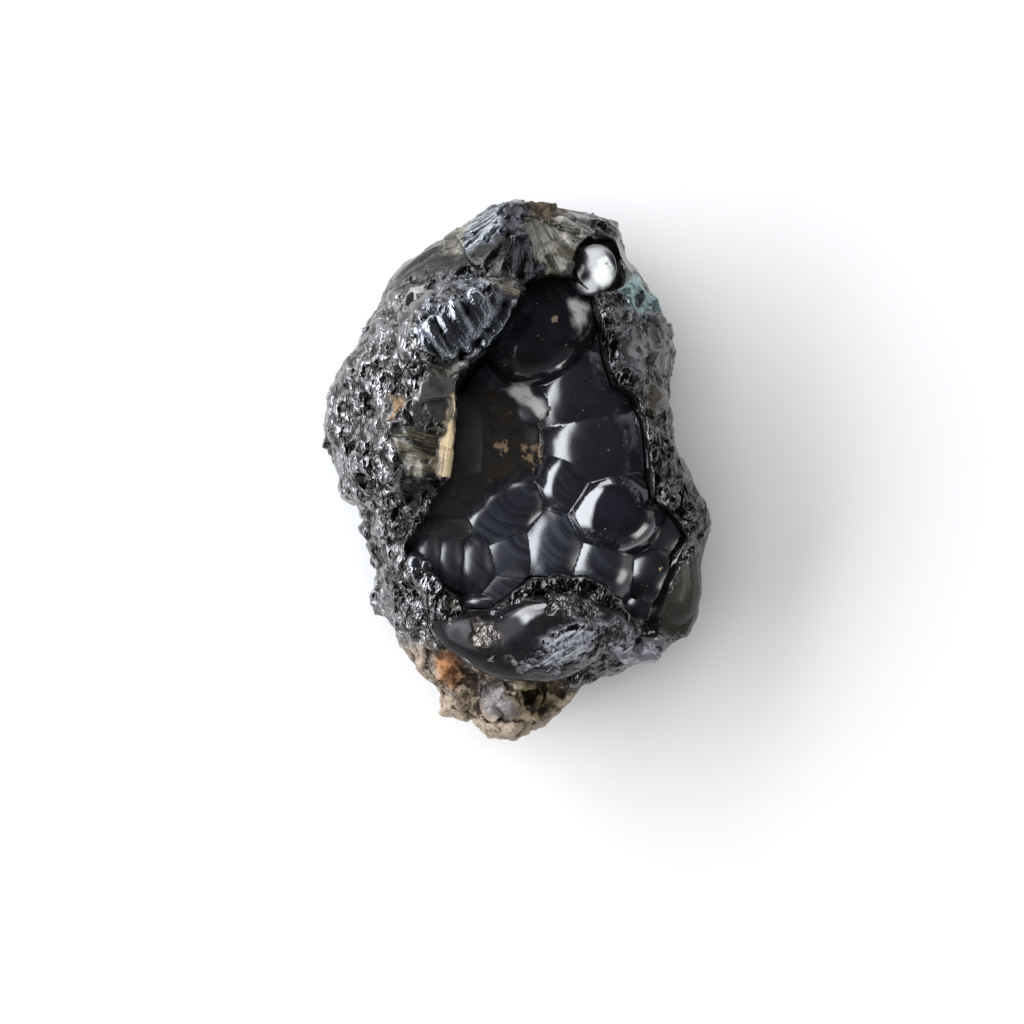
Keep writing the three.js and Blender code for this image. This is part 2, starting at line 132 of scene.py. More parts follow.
# Where a pale grey painted reflection lies on the lining, seen from above.
PAINTED_SHEEN = {
    "bead's right side": [
        (14.6, 38.6), (16.4, 39.2), (17.8, 37), (17.6, 34.2), (15.4, 32.8), (14, 34.6)],
    "bead's left side": [(10.6, 35), (11.6, 37.6), (12.5, 37.4), (12.2, 33.6), (11.2, 33.6)],
    "far dome's right side": [
        (9.2, 32), (11, 32.4), (13.9, 30), (13.2, 27.5), (11.3, 25), (10.6, 27), (9.5, 29.5)],
    "star between the shafts": [
        (-3.2, 14.6), (-0.7, 16.7), (2.8, 14.9), (6.3, 11.4), (5.4, 8.8), (3.5, 11), (0.6, 12.4),
        (-1.6, 13.6)],
}
PAINTED_SHEEN_EDGE = (-0.3, 0.9)  # its border, from bare to full, measured inwards from the outline

DUST_PATCHES = [((3, 3), 2.4), ((-3, 4.5), 1.8), ((7, 27.8), 0.9)]  # middles and sizes
DUST_PATCH_EDGE = (1.6, 0.4)  # their border, from bare to full, as shares of the size

DOME_DETAIL = 6
DOME_WOBBLE, DOME_WOBBLE_SIZE = 0.3, 6
LINING_REACH = 0.6  # how far the lining goes into the pocket's wall
CLEARED_TOP = 36.4  # up to this height the solid's own domes make room for the lining
CLEARED_REACH = 0.05  # how far that cut goes into the pocket's wall

# The rolls on the rim. A route gives x, y, the height of the axis and the radius.
LIP = [
    (-15.5, -28.5, 32, 4.5), (-10, -30.5, 33.5, 5.6), (-3.5, -32, 34, 7), (3.5, -31, 34.3, 8.4),
    (10, -29.5, 34.3, 8.6), (16, -29.5, 33.3, 7.6), (21.5, -33.5, 30.5, 5.5),
]
RIDGE = [
    (-3, -25.5, 37.5, 1.8), (3, -21.8, 38.5, 2), (12, -21.2, 38.5, 2), (18, -25, 37, 2.2),
    (21.5, -31, 34, 1.8),
]
SHOULDER = [
    (-23, 17, 39, 4), (-18, 21.5, 40, 7), (-12, 26.5, 41.2, 7.4), (-6, 30.5, 42, 5.6),
    (2, 33.5, 41.5, 2.4),
]
LIP_SKIN = 0.25  # how far the smooth lip stands proud of the solid's faceted one
LIP_WOBBLE, LIP_WOBBLE_SIZE = 0.7, 9
ROLL_END_POWER = 0.38  # how blunt a roll's ends are: 1 is pointed like an egg
ROUTE_STEP = 0.004  # the share of a route over which its direction is taken

FAN_APEX = (1.5, 51)
FAN_RADIUS = 13  # where a millimetre across the fan's fibres is a true one

# Where the stone's side stands out more than in the solid: place, push and size.
BULGES = [((-18, 37, 22), (-1.6, 1.8), 12)]
BULGE_CORE = 0.2  # the share of the size that is pushed in full
BULGE_HEIGHTS = (18, 8)  # how far above and below the push ends, and where it is full

# The stone widens a little downwards, by a share for each millimetre under the rim.
FLARE, FLARE_TOP, FLARE_DEPTH = 0.0022, 36, 20

# The pocket's own wall begins at the mouth's outline, and over the stone's back.
WALL_EDGE = (0.0, 1.0)
WALL_HEIGHTS = (10, 12)
WALL_SINK = 0.45  # how far it draws back behind the lining

WELD = 0.001  # the solid's points closer than this are one
VOXEL = 0.34
STONE_FACES = 190_000
PLAIN_HEIGHT = 16  # under this the stone's side is plain
SHELTERED_PLAIN = 0.9  # over this share of the pocket's own wall it is plain too
PLAIN_THINNING, RICH_THINNING = 0.55, 0.25  # how readily faces are given up there and elsewhere

# The waves by which borders stray: three directions and a start for each, and a finer wave.
WANDER_WAVES = [
    (1.0, 0.3, 0.5, 0.1), (-0.4, 1.1, 0.3, 1.9), (0.7, -0.8, 0.9, 4.2), (1.9, 1.3, -0.7, 2.7),
]
WANDER_SIZE = 1.6
FINER_WAVE, FINER_SHARE = 2.3, 0.6
LOOK_WANDER, PAINTED_SHEEN_WANDER = 0.45, 0.3  # how far the borders of looks and of the painted reflection stray
LOW_FADE = 6  # the height over which a look comes in above its lower end


# ---- The finish of each place on the stone ----

class Look(NamedTuple):
    """How a place looks: its two colours, its finish, and its outline seen from above.

    The tint is the colour of what stands out and the crease that of what lies low, which is
    partly the stone's dark veins and partly painted shade in its hollows. The relief is cells,
    fibres, flutes, facets, peel or smooth, and the grain gives the fibres' direction in degrees,
    or None where they spread from the fan's apex. The edge is half the width of the border, and
    low is the height where the look begins. Dull goes from 0, iron-bright, to 1, earthy. A later
    look covers an earlier one.
    """
    tint: tuple
    crease: tuple
    rough: float
    metal: float
    relief: str
    outline: list
    grain: float = None
    edge: float = 0.6
    low: float = 12
    dull: float = 0


LOOKS = {
    "upper crust": Look((0.15, 0.15, 0.152), (0.012, 0.011, 0.01), 0.15, 0.9, "cells", [
        (-60, -60), (60, -60), (60, 60), (-60, 60)], edge=1),
    "left flank": Look((0.342, 0.342, 0.35), (0.03, 0.028, 0.026), 0.12, 0.95, "cells", [
        (-23, 34), (-17, 27), (-17, 21), (-18, 15), (-17, 12), (-23, 8), (-23, 0), (-21, -6),
        (-23, -14), (-32, -12), (-42, -5), (-42, 18), (-30, 34)], edge=1, low=6),
    "far rim": Look((0.032, 0.031, 0.027), (0.01, 0.01, 0.009), 0.2, 0.85, "flutes", [
        (-24, 34), (-22, 45), (-6, 53), (20, 53), (26, 40), (20, 38), (14, 42), (2, 34), (-8, 36)],
        grain=30, edge=3, low=18),
    "silver blades": Look((0.5, 0.54, 0.6), (0.012, 0.013, 0.016), 0.1, 0.95, "fibres", [
        (-12.5, 41), (-10.5, 45), (-7.5, 48.5), (-3.5, 50.5), (-3, 46.5), (-3.5, 43.5),
        (-6.5, 41.5), (-9.5, 40)], low=18),
    "olive edge": Look((0.22, 0.2, 0.15), (0.05, 0.045, 0.035), 0.3, 0.3, "fibres", [
        (-14, 40), (-13.5, 45), (-10.5, 48), (-9, 46), (-10, 42.5), (-11.5, 39.5)],
        low=18, dull=0.4),
    "dark crystals": Look((0.075, 0.073, 0.088), (0.006, 0.006, 0.007), 0.08, 0.95, "facets", [
        (-3.5, 49), (0.5, 51), (3, 49), (3, 45.5), (2.5, 42.5), (-1, 42), (-3.5, 43.5)],
        edge=0.4, low=18),
    "dark flute": Look((0.03, 0.032, 0.035), (0.008, 0.008, 0.009), 0.22, 0.9, "fibres", [
        (-2, 42.5), (2.5, 42.5), (4, 38), (4.5, 35), (2, 33.5), (-1, 36.5), (-2.5, 39.5)],
        edge=0.4),
    "khaki fibres": Look((0.085, 0.076, 0.047), (0.04, 0.035, 0.022), 0.38, 0.2, "fibres", [
        (2, 47.5), (4.5, 48.5), (7, 47), (9, 44), (11.5, 40), (10, 37), (8, 35), (5.5, 35),
        (4, 38), (2.5, 42.5)], edge=0.4, low=18, dull=0.35),
    "pale fibres": Look((0.34, 0.32, 0.28), (0.035, 0.03, 0.026), 0.2, 0.6, "fibres", [
        (7, 48.5), (10, 48.5), (12.5, 45.5), (15, 43), (14.5, 42), (12, 40.5), (10.5, 39.5),
        (8.5, 43)], edge=0.4, low=18),
    "rusty top": Look((0.095, 0.062, 0.036), (0.035, 0.02, 0.011), 0.35, 0.2, "facets", [
        (2.5, 49), (4, 52), (9, 52), (9, 47), (5.5, 47.5), (3, 48)], edge=0.4, low=18, dull=0.8),
    "black far right": Look((0.06, 0.06, 0.06), (0.006, 0.006, 0.006), 0.12, 0.95, "facets", [
        (9, 49), (12.5, 50), (17.5, 47.5), (20, 44), (19, 41.5), (16, 42.5), (14, 44), (11.5, 47)],
        edge=0.4, low=18),
    "shoulder glitter": Look((0.286, 0.294, 0.329), (0.012, 0.012, 0.014), 0.1, 0.95, "cells", [
        (-19, 27), (-17.5, 31), (-15.5, 33.5), (-12, 35.5), (-7, 36.5), (-3.5, 34.5), (-5.5, 32.5),
        (-8.5, 31.5), (-13.5, 28), (-17.5, 25)]),
    "shoulder blades": Look((0.42, 0.45, 0.51), (0.006, 0.006, 0.007), 0.17, 0.95, "flutes", [
        (-18.5, 24), (-17.5, 27), (-13.5, 28.5), (-8.5, 32), (-3, 33), (1, 31), (-1.5, 25.5),
        (-6, 20.5), (-9, 17.5), (-12.5, 19.5), (-16, 20.5)], grain=116),
    "shoulder seam": Look((0.16, 0.148, 0.118), (0.04, 0.038, 0.032), 0.3, 0.3, "fibres", [
        (-18.5, 16), (-14.5, 18), (-12, 19.3), (-8.5, 20.5), (-6.5, 21.5), (-8.5, 19),
        (-11.5, 16.8), (-14, 15.5), (-17, 13.5)], grain=140, edge=0.5, dull=0.3),
    "cream creases": Look((0.26, 0.23, 0.17), (0.007, 0.007, 0.007), 0.16, 0.6, "fibres", [
        (-6.5, 34), (-3, 34.5), (1.5, 33), (2, 31.5), (-1.5, 31.5), (-5.5, 33)],
        grain=-15, edge=0.3),
    "olive hollow": Look((0.075, 0.075, 0.06), (0.03, 0.029, 0.022), 0.2, 0.3, "smooth", [
        (-22, 33), (-19.5, 34), (-16, 34), (-15.5, 31), (-17.5, 28), (-20, 29), (-22, 31)]),
    "left face grey": Look((0.114, 0.116, 0.11), (0.03, 0.03, 0.03), 0.22, 0.4, "smooth", [
        (-17, 16), (-14, 16.5), (-11, 16.5), (-10.5, 13), (-12.5, 10), (-14, 8), (-17, 9),
        (-18.5, 12.5)], grain=100),
    "left face lavender": Look((0.229, 0.211, 0.214), (0.016, 0.015, 0.015), 0.22, 0.8, "facets", [
        (-22.5, 12.5), (-20, 12.5), (-17, 12), (-16.5, 8), (-19, 7.5), (-23, 8)], grain=80),
    "left face olive": Look((0.13, 0.112, 0.07), (0.01, 0.009, 0.007), 0.24, 0.25, "fibres", [
        (-23, 7.5), (-19, 7), (-13.5, 7), (-13, 4), (-14, 1), (-17, -2), (-21, -1.5),
        (-22.5, 2.5)], grain=-14, edge=0.4, dull=0.2),
    "left face dark": Look((0.028, 0.028, 0.028), (0.005, 0.005, 0.005), 0.14, 0.95, "fibres", [
        (-22.5, 2), (-19.5, -1.5), (-14.5, -2), (-13.5, -3), (-16, -6), (-19, -7.5), (-21.5, -7),
        (-23, -2)], grain=-8),
    "cream edge": Look((0.6, 0.47, 0.29), (0.24, 0.21, 0.18), 0.4, 0.05, "fibres", [
        (-11, 14.5), (-9, 11), (-9, 1), (-12, -2.5), (-14.6, -2.8), (-14.8, 0), (-14.4, 4.5),
        (-13, 6.5), (-13.4, 9), (-12.4, 12)], grain=80, edge=0.25, low=33, dull=1),
    "ochre spot": Look((0.4, 0.26, 0.14), (0.14, 0.1, 0.065), 0.45, 0.1, "cells", [
        (-24, 13.5), (-21.5, 13.5), (-20, 12), (-21, 9.5), (-23, 10)], edge=0.4, dull=1),
    "dark glossy crust": Look((0.06, 0.06, 0.06), (0.007, 0.007, 0.007), 0.08, 0.95, "cells", [
        (-22.5, -6), (-19, -7.5), (-16.5, -6), (-18, -10.5), (-20, -14), (-23, -13), (-24, -9)]),
    "near left crust": Look((0.311, 0.311, 0.319), (0.02, 0.019, 0.018), 0.11, 0.95, "cells", [
        (-29, -14), (-23, -13), (-21, -16), (-18, -19), (-13.5, -22.5), (-12, -25.5), (-14, -31.5),
        (-18, -33), (-23, -34), (-28.5, -26), (-29, -20)], low=6),
    "matrix": Look((0.42, 0.33, 0.245), (0.05, 0.034, 0.024), 0.5, 0.05, "facets", [
        (-24, -33.5), (-19.5, -33), (-14, -33), (-10, -35.5), (-6, -38.5), (0.5, -39.5), (8, -40),
        (13, -43), (9, -52), (-8, -53), (-24, -44)], edge=1.5, low=2, dull=0.8),
    "matrix orange": Look((0.46, 0.22, 0.1), (0.14, 0.07, 0.04), 0.5, 0.0, "facets", [
        (-15, -34), (-12, -33.5), (-10, -36), (-10, -39), (-12, -41.5), (-14, -41),
        (-15.5, -37.5)], edge=1.2, low=2, dull=1),
    "matrix lavender": Look((0.2, 0.178, 0.17), (0.04, 0.03, 0.024), 0.36, 0.2, "facets", [
        (-8.5, -41.5), (-5, -41), (-1.5, -43), (0.5, -46.5), (-1.5, -47.5), (-5.5, -46)],
        low=2, dull=0.5),
    "matrix olive": Look((0.216, 0.176, 0.101), (0.04, 0.03, 0.017), 0.4, 0.2, "facets", [
        (0.5, -41), (5, -40), (7.5, -41.5), (7, -46), (4.5, -47.5), (1.5, -46)], low=2, dull=0.8),
    "teal sparkle": Look((0.195, 0.3, 0.292), (0.004, 0.006, 0.006), 0.13, 0.6, "facets", [
        (18, 38), (20, 39.5), (24, 38.5), (28, 33), (27, 30), (24, 29), (20, 30), (18.5, 32)],
        grain=60, low=24),
    "right facets": Look((0.095, 0.1, 0.104), (0.005, 0.005, 0.006), 0.2, 0.6, "facets", [
        (18, 30), (23, 29.5), (27.5, 30), (31, 25.5), (30, 18), (26, 17), (21.5, 17), (18.5, 18),
        (17, 24)], grain=52),
    "right knobs": Look((0.058, 0.06, 0.061), (0.005, 0.005, 0.005), 0.1, 0.95, "cells", [
        (15, 27), (17.5, 28), (18, 23), (18.5, 18), (22, 16.5), (23, 13), (18.5, 13), (15.5, 16.5),
        (15, 22)], edge=0.4),
    "right plate": Look((0.14, 0.128, 0.115), (0.02, 0.017, 0.014), 0.25, 0.4, "smooth", [
        (23, 15.5), (25.5, 16), (28.5, 13), (27, 10), (25, 9), (23, 12)], edge=0.4, dull=0.5),
    "right ridge": Look((0.13, 0.133, 0.135), (0.007, 0.007, 0.007), 0.12, 0.95, "cells", [
        (23.5, 9), (27, 10.5), (30, 8), (32, -2), (34, -6), (28, -8), (25, -6.5), (23.5, -0.5)]),
    "near right crust": Look((0.078, 0.081, 0.082), (0.007, 0.007, 0.007), 0.1, 0.95, "cells", [
        (25, -5), (30, -4.5), (36, -7), (37, -13), (32, -13), (28.5, -9), (25.5, -8)]),
    "shell outside": Look((0.045, 0.046, 0.038), (0.025, 0.025, 0.02), 0.4, 0.1, "smooth", [
        (34.5, -14.5), (39, -13), (38, -23), (35, -33), (28.5, -31.5), (28, -29.5), (28, -25),
        (30, -19.5)], low=18, dull=0.85),
    "ragged foot": Look((0.26, 0.26, 0.29), (0.014, 0.014, 0.015), 0.25, 0.3, "facets", [
        (19.5, -30), (24.5, -29.5), (28, -30.5), (31, -31.5), (30, -36), (24.5, -39), (20, -36)]),
    "lip ridge": Look((0.065, 0.066, 0.066), (0.008, 0.008, 0.008), 0.13, 0.95, "cells", [
        (-7, -25), (-3, -23), (2.5, -20.5), (8, -19), (13.5, -19), (17.5, -22), (21, -26.5),
        (22, -31.5), (19, -33.5), (16.5, -29), (13, -25), (6.5, -23.5), (0.5, -24.5)], edge=0.4),
}

# The finish where no place above is: the stone's rind at its sides and back.
RIND = Look((0.1, 0.085, 0.07), (0.022, 0.016, 0.012), 0.42, 0.3, "cells", [], dull=0.6)

# The finish of the pocket's own wall, under and between the domes.
POCKET_WALL = Look((0.02, 0.02, 0.021), (0.006, 0.006, 0.006), 0.18, 0.5, "smooth", [])

# The lip is dull all over, with polished, peeled and gritty patches.
LIP_GLAZE = Look((0.014, 0.015, 0.016), (0.008, 0.008, 0.009), 0.14, 0.5, "smooth", [], dull=0.93)
LIP_LOOKS = {
    "polished upper side": LIP_GLAZE._replace(rough=0.11, metal=0, dull=0, edge=1, outline=[
        (-4.5, -23), (0, -22), (7.5, -22.5), (9.5, -25), (7.5, -27.6), (0, -27.4), (-4.5, -26.6)]),
    "polished left end": LIP_GLAZE._replace(rough=0.3, dull=0.6, edge=1.6, outline=[
        (-13, -26.5), (-9.5, -25), (-7, -26), (-7.5, -29), (-10, -30.5), (-13, -30)]),
    "peeled end": Look((0.5, 0.51, 0.57), (0.012, 0.012, 0.013), 0.3, 0, "peel", [
        (4, -31), (9, -28.5), (14, -28), (22, -29), (25, -33), (24, -38), (16, -39), (10, -41.5),
        (6, -41.5), (8, -38.5), (4, -37.5), (0.5, -37), (5, -34)], grain=35, edge=1, dull=0.75),
    "glitter on the lip": Look((0.14, 0.145, 0.145), (0.008, 0.008, 0.008), 0.12, 0.6, "cells", [
        (5, -23.5), (13, -23), (16, -26.5), (13, -28.5), (9, -26), (5, -26)], edge=0.5),
    "gritty patch": Look((0.26, 0.22, 0.19), (0.05, 0.04, 0.035), 0.3, 0.4, "cells", [
        (-8, -29), (-5, -28.5), (-3, -30), (-3.5, -31.8), (-7, -32), (-8, -31)], edge=0.3),
    "small gritty patch": Look((0.18, 0.155, 0.13), (0.03, 0.026, 0.022), 0.3, 0.4, "cells", [
        (-3, -35.5), (-1, -35), (0.5, -35.5), (-0.5, -36.5), (-2.5, -36.8)], edge=0.3),
}

# The kinds of relief that the nodes raise. A smooth look has none of them.
RELIEFS = ("cells", "fibres", "flutes", "facets", "peel")


# ---- Tools for shaping a piece ----

def only(piece):
    """Makes one piece the selected and active one."""
    bpy.ops.object.select_all(action="DESELECT")
    piece.select_set(True)
    bpy.context.view_layer.objects.active = piece


def added(name, data):
    """A new object of the scene."""
    thing = bpy.data.objects.new(name, data)
    bpy.context.scene.collection.objects.link(thing)
    return thing


def worked(piece, kind, **settings):
    """Adds a modifier and applies it at once."""
    only(piece)
    modifier = piece.modifiers.new(kind, kind)
    modifier.show_viewport = False
    for name, value in settings.items():
        setattr(modifier, name, value)
    bpy.ops.object.modifier_apply(modifier=modifier.name)
    return piece


def placed(piece):
    """Puts a piece's place, turn and size into its mesh."""
    only(piece)
    bpy.ops.object.transform_apply(location=True, rotation=True, scale=True)
    return piece


def combined(piece, operation, other):
    """Joins or cuts a piece with another one, which is used up."""
    worked(piece, "BOOLEAN", operation=operation, solver="MANIFOLD", object=other)
    bpy.data.objects.remove(other)
    return piece


def in_one_mesh(pieces):
    """Puts pieces into the first one's mesh, as they are."""
    only(pieces[0])
    for piece in pieces:
        piece.select_set(True)
    bpy.ops.object.join()
    return pieces[0]


def grain_texture(name, kind, size, **settings):
    """A texture for Displace, with its size in millimetres."""
    texture = bpy.data.textures.new(name, kind)
    texture.noise_scale = size * MM
    for key, value in settings.items():
        setattr(texture, key, value)
    return texture


def roughened(piece, texture, depth):
    """Moves a piece's surface in and out by a texture."""
    return worked(
        piece, "DISPLACE", texture=texture, texture_coords="LOCAL", strength=depth * MM,
        mid_level=0.5,
    )


def with_all_selected(piece, work):
    """Does some work in Edit Mode on the whole of a piece's mesh."""
    only(piece)
    bpy.ops.object.mode_set(mode="EDIT")
    bpy.ops.mesh.select_all(action="SELECT")
    work()
    bpy.ops.object.mode_set(mode="OBJECT")


def facing_out(piece):
    """Turns a closed piece's faces outwards."""
    with_all_selected(piece, lambda: bpy.ops.mesh.normals_make_consistent(inside=False))
    return piece


def points_of(piece):
    """A piece's points in millimetres."""
    points = np.empty(3 * len(piece.data.vertices))
    piece.data.vertices.foreach_get("co", points)
    return points.reshape(-1, 3) / MM


def set_points(piece, points):
    piece.data.vertices.foreach_set("co", (points * MM).ravel())
    piece.data.update()


def marked(piece, name, values):
    """Keeps a number, a vector or a colour for each point of a piece."""
    width = 1 if values.ndim == 1 else values.shape[1]
    kind, field = {1: ("FLOAT", "value"), 3: ("FLOAT_VECTOR", "vector")}[width]
    layer = piece.data.attributes.new(name, kind, "POINT")
    layer.data.foreach_set(field, np.ascontiguousarray(values, np.float32).ravel())


# ---- Where a place begins and ends ----

def depth_inside(points, outline):
    """How far each point lies inside an outline seen from above, and negative outside it."""
    x, y = points[:, 0], points[:, 1]
    nearest = np.full(len(points), np.inf)
    inside = np.zeros(len(points), bool)
    for (x0, y0), (x1, y1) in zip(outline, outline[1:] + outline[:1]):
        dx, dy = x1 - x0, y1 - y0
        share = np.clip(((x - x0) * dx + (y - y0) * dy) / (dx * dx + dy * dy), 0, 1)
        nearest = np.minimum(nearest, np.hypot(x - x0 - share * dx, y - y0 - share * dy))
        if dy:
            inside ^= ((y0 <= y) != (y1 <= y)) & (x < x0 + (y - y0) * dx / dy)
    return np.where(inside, nearest, -nearest)


def eased(values, low, high):
    """Smooth steps from 0 at low to 1 at high."""
    share = np.clip((values - low) / (high - low), 0, 1)
    return share * share * (3 - 2 * share)


def wandering(points, reach):
    """The points moved to and fro, so that the border of a place isn't a straight line."""
    moved = points.copy()
    for number, (a, b, c, start) in enumerate(WANDER_WAVES):
        angle = (a * points[:, 0] + b * points[:, 1] + c * points[:, 2]) / WANDER_SIZE + start
        moved[:, number % 2] += reach * np.sin(angle)
        finer = np.sin(FINER_WAVE * angle + start)
        moved[:, (number + 1) % 2] += FINER_SHARE * reach * finer
    return moved


def along_grain(points, grain):
    """Each point's place across and along the fibres."""
    x, y, z = points.T
    if grain is None:
        dx, dy = x - FAN_APEX[0], y - FAN_APEX[1]
        return np.stack([FAN_RADIUS * np.arctan2(dx, -dy), np.hypot(dx, dy), z], axis=1)
    angle = math.radians(grain)
    across = -math.sin(angle) * x + math.cos(angle) * y
    along = math.cos(angle) * x + math.sin(angle) * y
    return np.stack([across, along, z], axis=1)


def marks_of(look):
    """A look's colours, finish and kind of relief, as they are kept for each point."""
    marks = {name: getattr(look, name) for name in ("tint", "crease", "rough", "metal", "dull")}
    marks.update({kind: look.relief == kind for kind in RELIEFS})
    return {name: np.array(value, float) for name, value in marks.items()}


def dressed(piece, base, looks, sheltered):
    """Marks a piece's points with the colours, the finish and the relief of their places."""
    points = points_of(piece)
    astray = wandering(points, LOOK_WANDER)
    count = len(points)
    sums = {name: np.tile(goal, (count, 1)) for name, goal in marks_of(base).items()}
    grain = along_grain(points, 0)

    def cover(look, share):
        for name, goal in marks_of(look).items():
            sums[name] += share[:, None] * (goal - sums[name])

    for look in looks.values():
        share = eased(depth_inside(astray, look.outline), -look.edge, look.edge)
        share *= eased(points[:, 2], look.low, look.low + LOW_FADE)
        cover(look, share)
        grained = (share > 0.5) & (look.relief not in ("cells", "smooth"))
        grain[grained] = along_grain(points[grained], look.grain)
    cover(POCKET_WALL, sheltered)
    for name, values in {**sums, "grain": grain, "sheltered": sheltered}.items():
        marked(piece, name, values)


# ---- Sums with nodes ----

HALF = (0.5, 0.5, 0.5)  # the middle of a cloud's or a cell's colour
LOBE_MIDDLE = 0.13  # what brings lobes to stand out as much as they sink in

# What has a grain: its size across, along and down the grain, in millimetres.
BLADES, THREADS, FINE_THREADS = (3.6, 15, 9), (1.1, 11, 6), (0.36, 6, 4)
WAVES, FLAKES = (3.4, 22, 12), (3, 8, 5)
MELT = (0.8, 1.25, 1)  # how the fine crust is drawn out along x, y and z
FLAKE_EDGE = (0.44, 0.47)


def node_sum(operation, turned=False):
    """A sum for Wire, which adds a Math node. If turned, the values change places."""
    def method(*values):
        ordered = values[::-1] if turned else values
        return values[0].bench.add("ShaderNodeMath", {"operation": operation}, ordered)

    return method


class Wire:
    """A node's output. Sums with it add Math nodes."""

    def __init__(self, bench, socket):
        self.bench, self.socket = bench, socket

    __add__ = __radd__ = node_sum("ADD")
    __sub__, __rsub__ = node_sum("SUBTRACT"), node_sum("SUBTRACT", turned=True)
    __mul__ = __rmul__ = node_sum("MULTIPLY")
    __truediv__ = node_sum("DIVIDE")
    __abs__ = node_sum("ABSOLUTE")


class Bench:
    """A node tree, and the one way to add nodes to it and to fill their sockets."""

    def __init__(self, tree):
        self.tree = tree

    def add(self, kind, settings=None, sockets=(), out=0):
        """Adds a node: first its settings, then its sockets' values or wires."""
        node = self.tree.nodes.new(kind)
        for name, value in (settings or {}).items():
            setattr(node, name, value)
        self.fill(node, sockets)
        return Wire(self, self.find(node.outputs, out))

    def fill(self, node, sockets):
        """Gives a node's sockets their values or wires, by name or order."""
        pairs = sockets.items() if isinstance(sockets, dict) else enumerate(sockets)
        for key, value in pairs:
            socket = self.find(node.inputs, key)
            if isinstance(value, Wire):
                self.tree.links.new(value.socket, socket)
            else:
                socket.default_value = value

    @staticmethod
    def find(sockets, key):
        if isinstance(key, int):
            return sockets[key]
        named = [s for s in sockets if s.identifier == key]
        return (named or [s for s in sockets if s.name == key and s.enabled])[0]

    def vector(self, operation, *values, out=0):
        return self.add("ShaderNodeVectorMath", {"operation": operation}, values, out=out)

    def scaled(self, vector, factor):
        return self.vector("MULTIPLY", vector, (factor,) * 3)

    def stretched(self, vector, sizes):
        """Places measured in one size for each axis, such as across, along and down the grain."""
        return self.vector("MULTIPLY", vector, tuple(1 / size for size in sizes))

    def here(self):
        """The piece's own coordinates, in millimetres."""
        return self.scaled(self.add("ShaderNodeTexCoord", out="Object"), 1 / MM)

    def mark(self, name, out="Fac"):
        """What a material reads from the points of its piece."""
        return self.add("ShaderNodeAttribute", {"attribute_name": name}, out=out)

    def part_of(self, vector, axis):
        return self.add("ShaderNodeSeparateXYZ", {}, (vector,), out=axis)

    def noise(self, where, size, detail=2.0, rough=0.5):
        """Clouds from 0 to 1, of a size in the units of where."""
        return self.add("ShaderNodeTexNoise", {}, {
            "Vector": where, "Scale": 1 / size, "Detail": detail, "Roughness": rough,
        })

    def bubbles(self, where, size, soft=0.0):
        """The distance from the middle of the nearest cell, about 0 to 0.7."""
        sockets = {"Vector": where, "Scale": 1 / size}
        if soft:
            sockets["Smoothness"] = soft
        feature = "SMOOTH_F1" if soft else "F1"
        return self.add("ShaderNodeTexVoronoi", {"feature": feature}, sockets, out="Distance")

    def lobes(self, where, size, detail=1.0):
        """Round lobes with sharp creases between them, about -0.2 to 0.3."""
        return abs(self.noise(where, size, detail) - 0.5) - LOBE_MIDDLE

    def flakes(self, grain):
        """Patches with sharp borders, drawn out along the grain, 0 or 1."""
        drawn = self.noise(self.stretched(grain, FLAKES), 1, 4, 0.6)
        return self.ramp(drawn, *FLAKE_EDGE)

    def warped(self, where, size, reach):
        """Places led astray by clouds, so that cells and chips aren't all alike."""
        cloud = self.add("ShaderNodeTexNoise", {}, {
            "Vector": where, "Scale": 1 / size, "Detail": 2.0,
        }, out="Color")
        shift = self.vector("SUBTRACT", cloud, HALF)
        return self.vector("ADD", where, self.scaled(shift, reach))

    def chips(self, where, size):
        """Flat facets that tilt each its own way, about -0.5 to 0.5."""
        grid = self.scaled(where, 1 / size)
        cell = self.add("ShaderNodeTexVoronoi", {}, {"Vector": grid, "Scale": 1.0})
        outputs = cell.socket.node.outputs
        middle, hue = Wire(self, outputs["Position"]), Wire(self, outputs["Color"])
        away = self.vector("SUBTRACT", grid, middle)
        lean = self.vector("SUBTRACT", hue, HALF)
        return self.vector("DOT_PRODUCT", away, lean, out="Value")

    def ramp(self, value, low, high):
        """A smooth step from 0 at low to 1 at high."""
        return self.add("ShaderNodeMapRange", {"interpolation_type": "SMOOTHSTEP"}, {
            "Value": value, "From Min": low, "From Max": high,
        })

    def mix(self, share, first, second):
        """A colour between two colours."""
        return self.add("ShaderNodeMix", {"data_type": "RGBA"}, {
            "Factor_Float": share, "A_Color": first, "B_Color": second,
        }, out="Result_Color")


# ---- The relief: sizes and heights in millimetres ----

SWELL_SIZE = 7  # the broad swell, and its heights on three kinds of relief
SWELL_ON_CELLS, SWELL_ON_FACETS, SWELL_ON_FIBRES = 2.6, 1.4, 0.7

BEAD_SIZE, SMALL_BEAD_SIZE, LOBE_SIZE, BUSY_SIZE = 4.6, 1.5, 3.4, 4.5
BEAD_SOFTNESS, SMALL_BEAD_SOFTNESS = 0.1, 0.15
BEAD_MIDDLE = 0.36  # what brings beads to stand out as much as they sink in
CALM_BEADS, BUSY_BEADS, SMALL_BEADS, LOBES = 0.5, 0.9, 0.25, 1.5
BUSY_EDGE = (0.42, 0.6)  # where the clouds turn calm crust into busy crust

# What leads them astray: the size of the clouds and how far they reach.
BEADS_ASTRAY, LOBES_ASTRAY, STEPS_ASTRAY = (4, 3.2), (2.6, 4), (5, 1.5)

STEP_SIZE, BREAK_SIZE, SMALL_BREAK_SIZE = 4.5, 6.5, 2.6
BLADE_HEIGHT, THREAD_HEIGHT, STEP_HEIGHT, WAVE_HEIGHT = 3.4, 0.4, 1.1, 2.1
BREAK_HEIGHT, SMALL_BREAK_HEIGHT, FLAKE_DEPTH = 2.6, 0.8, 0.3

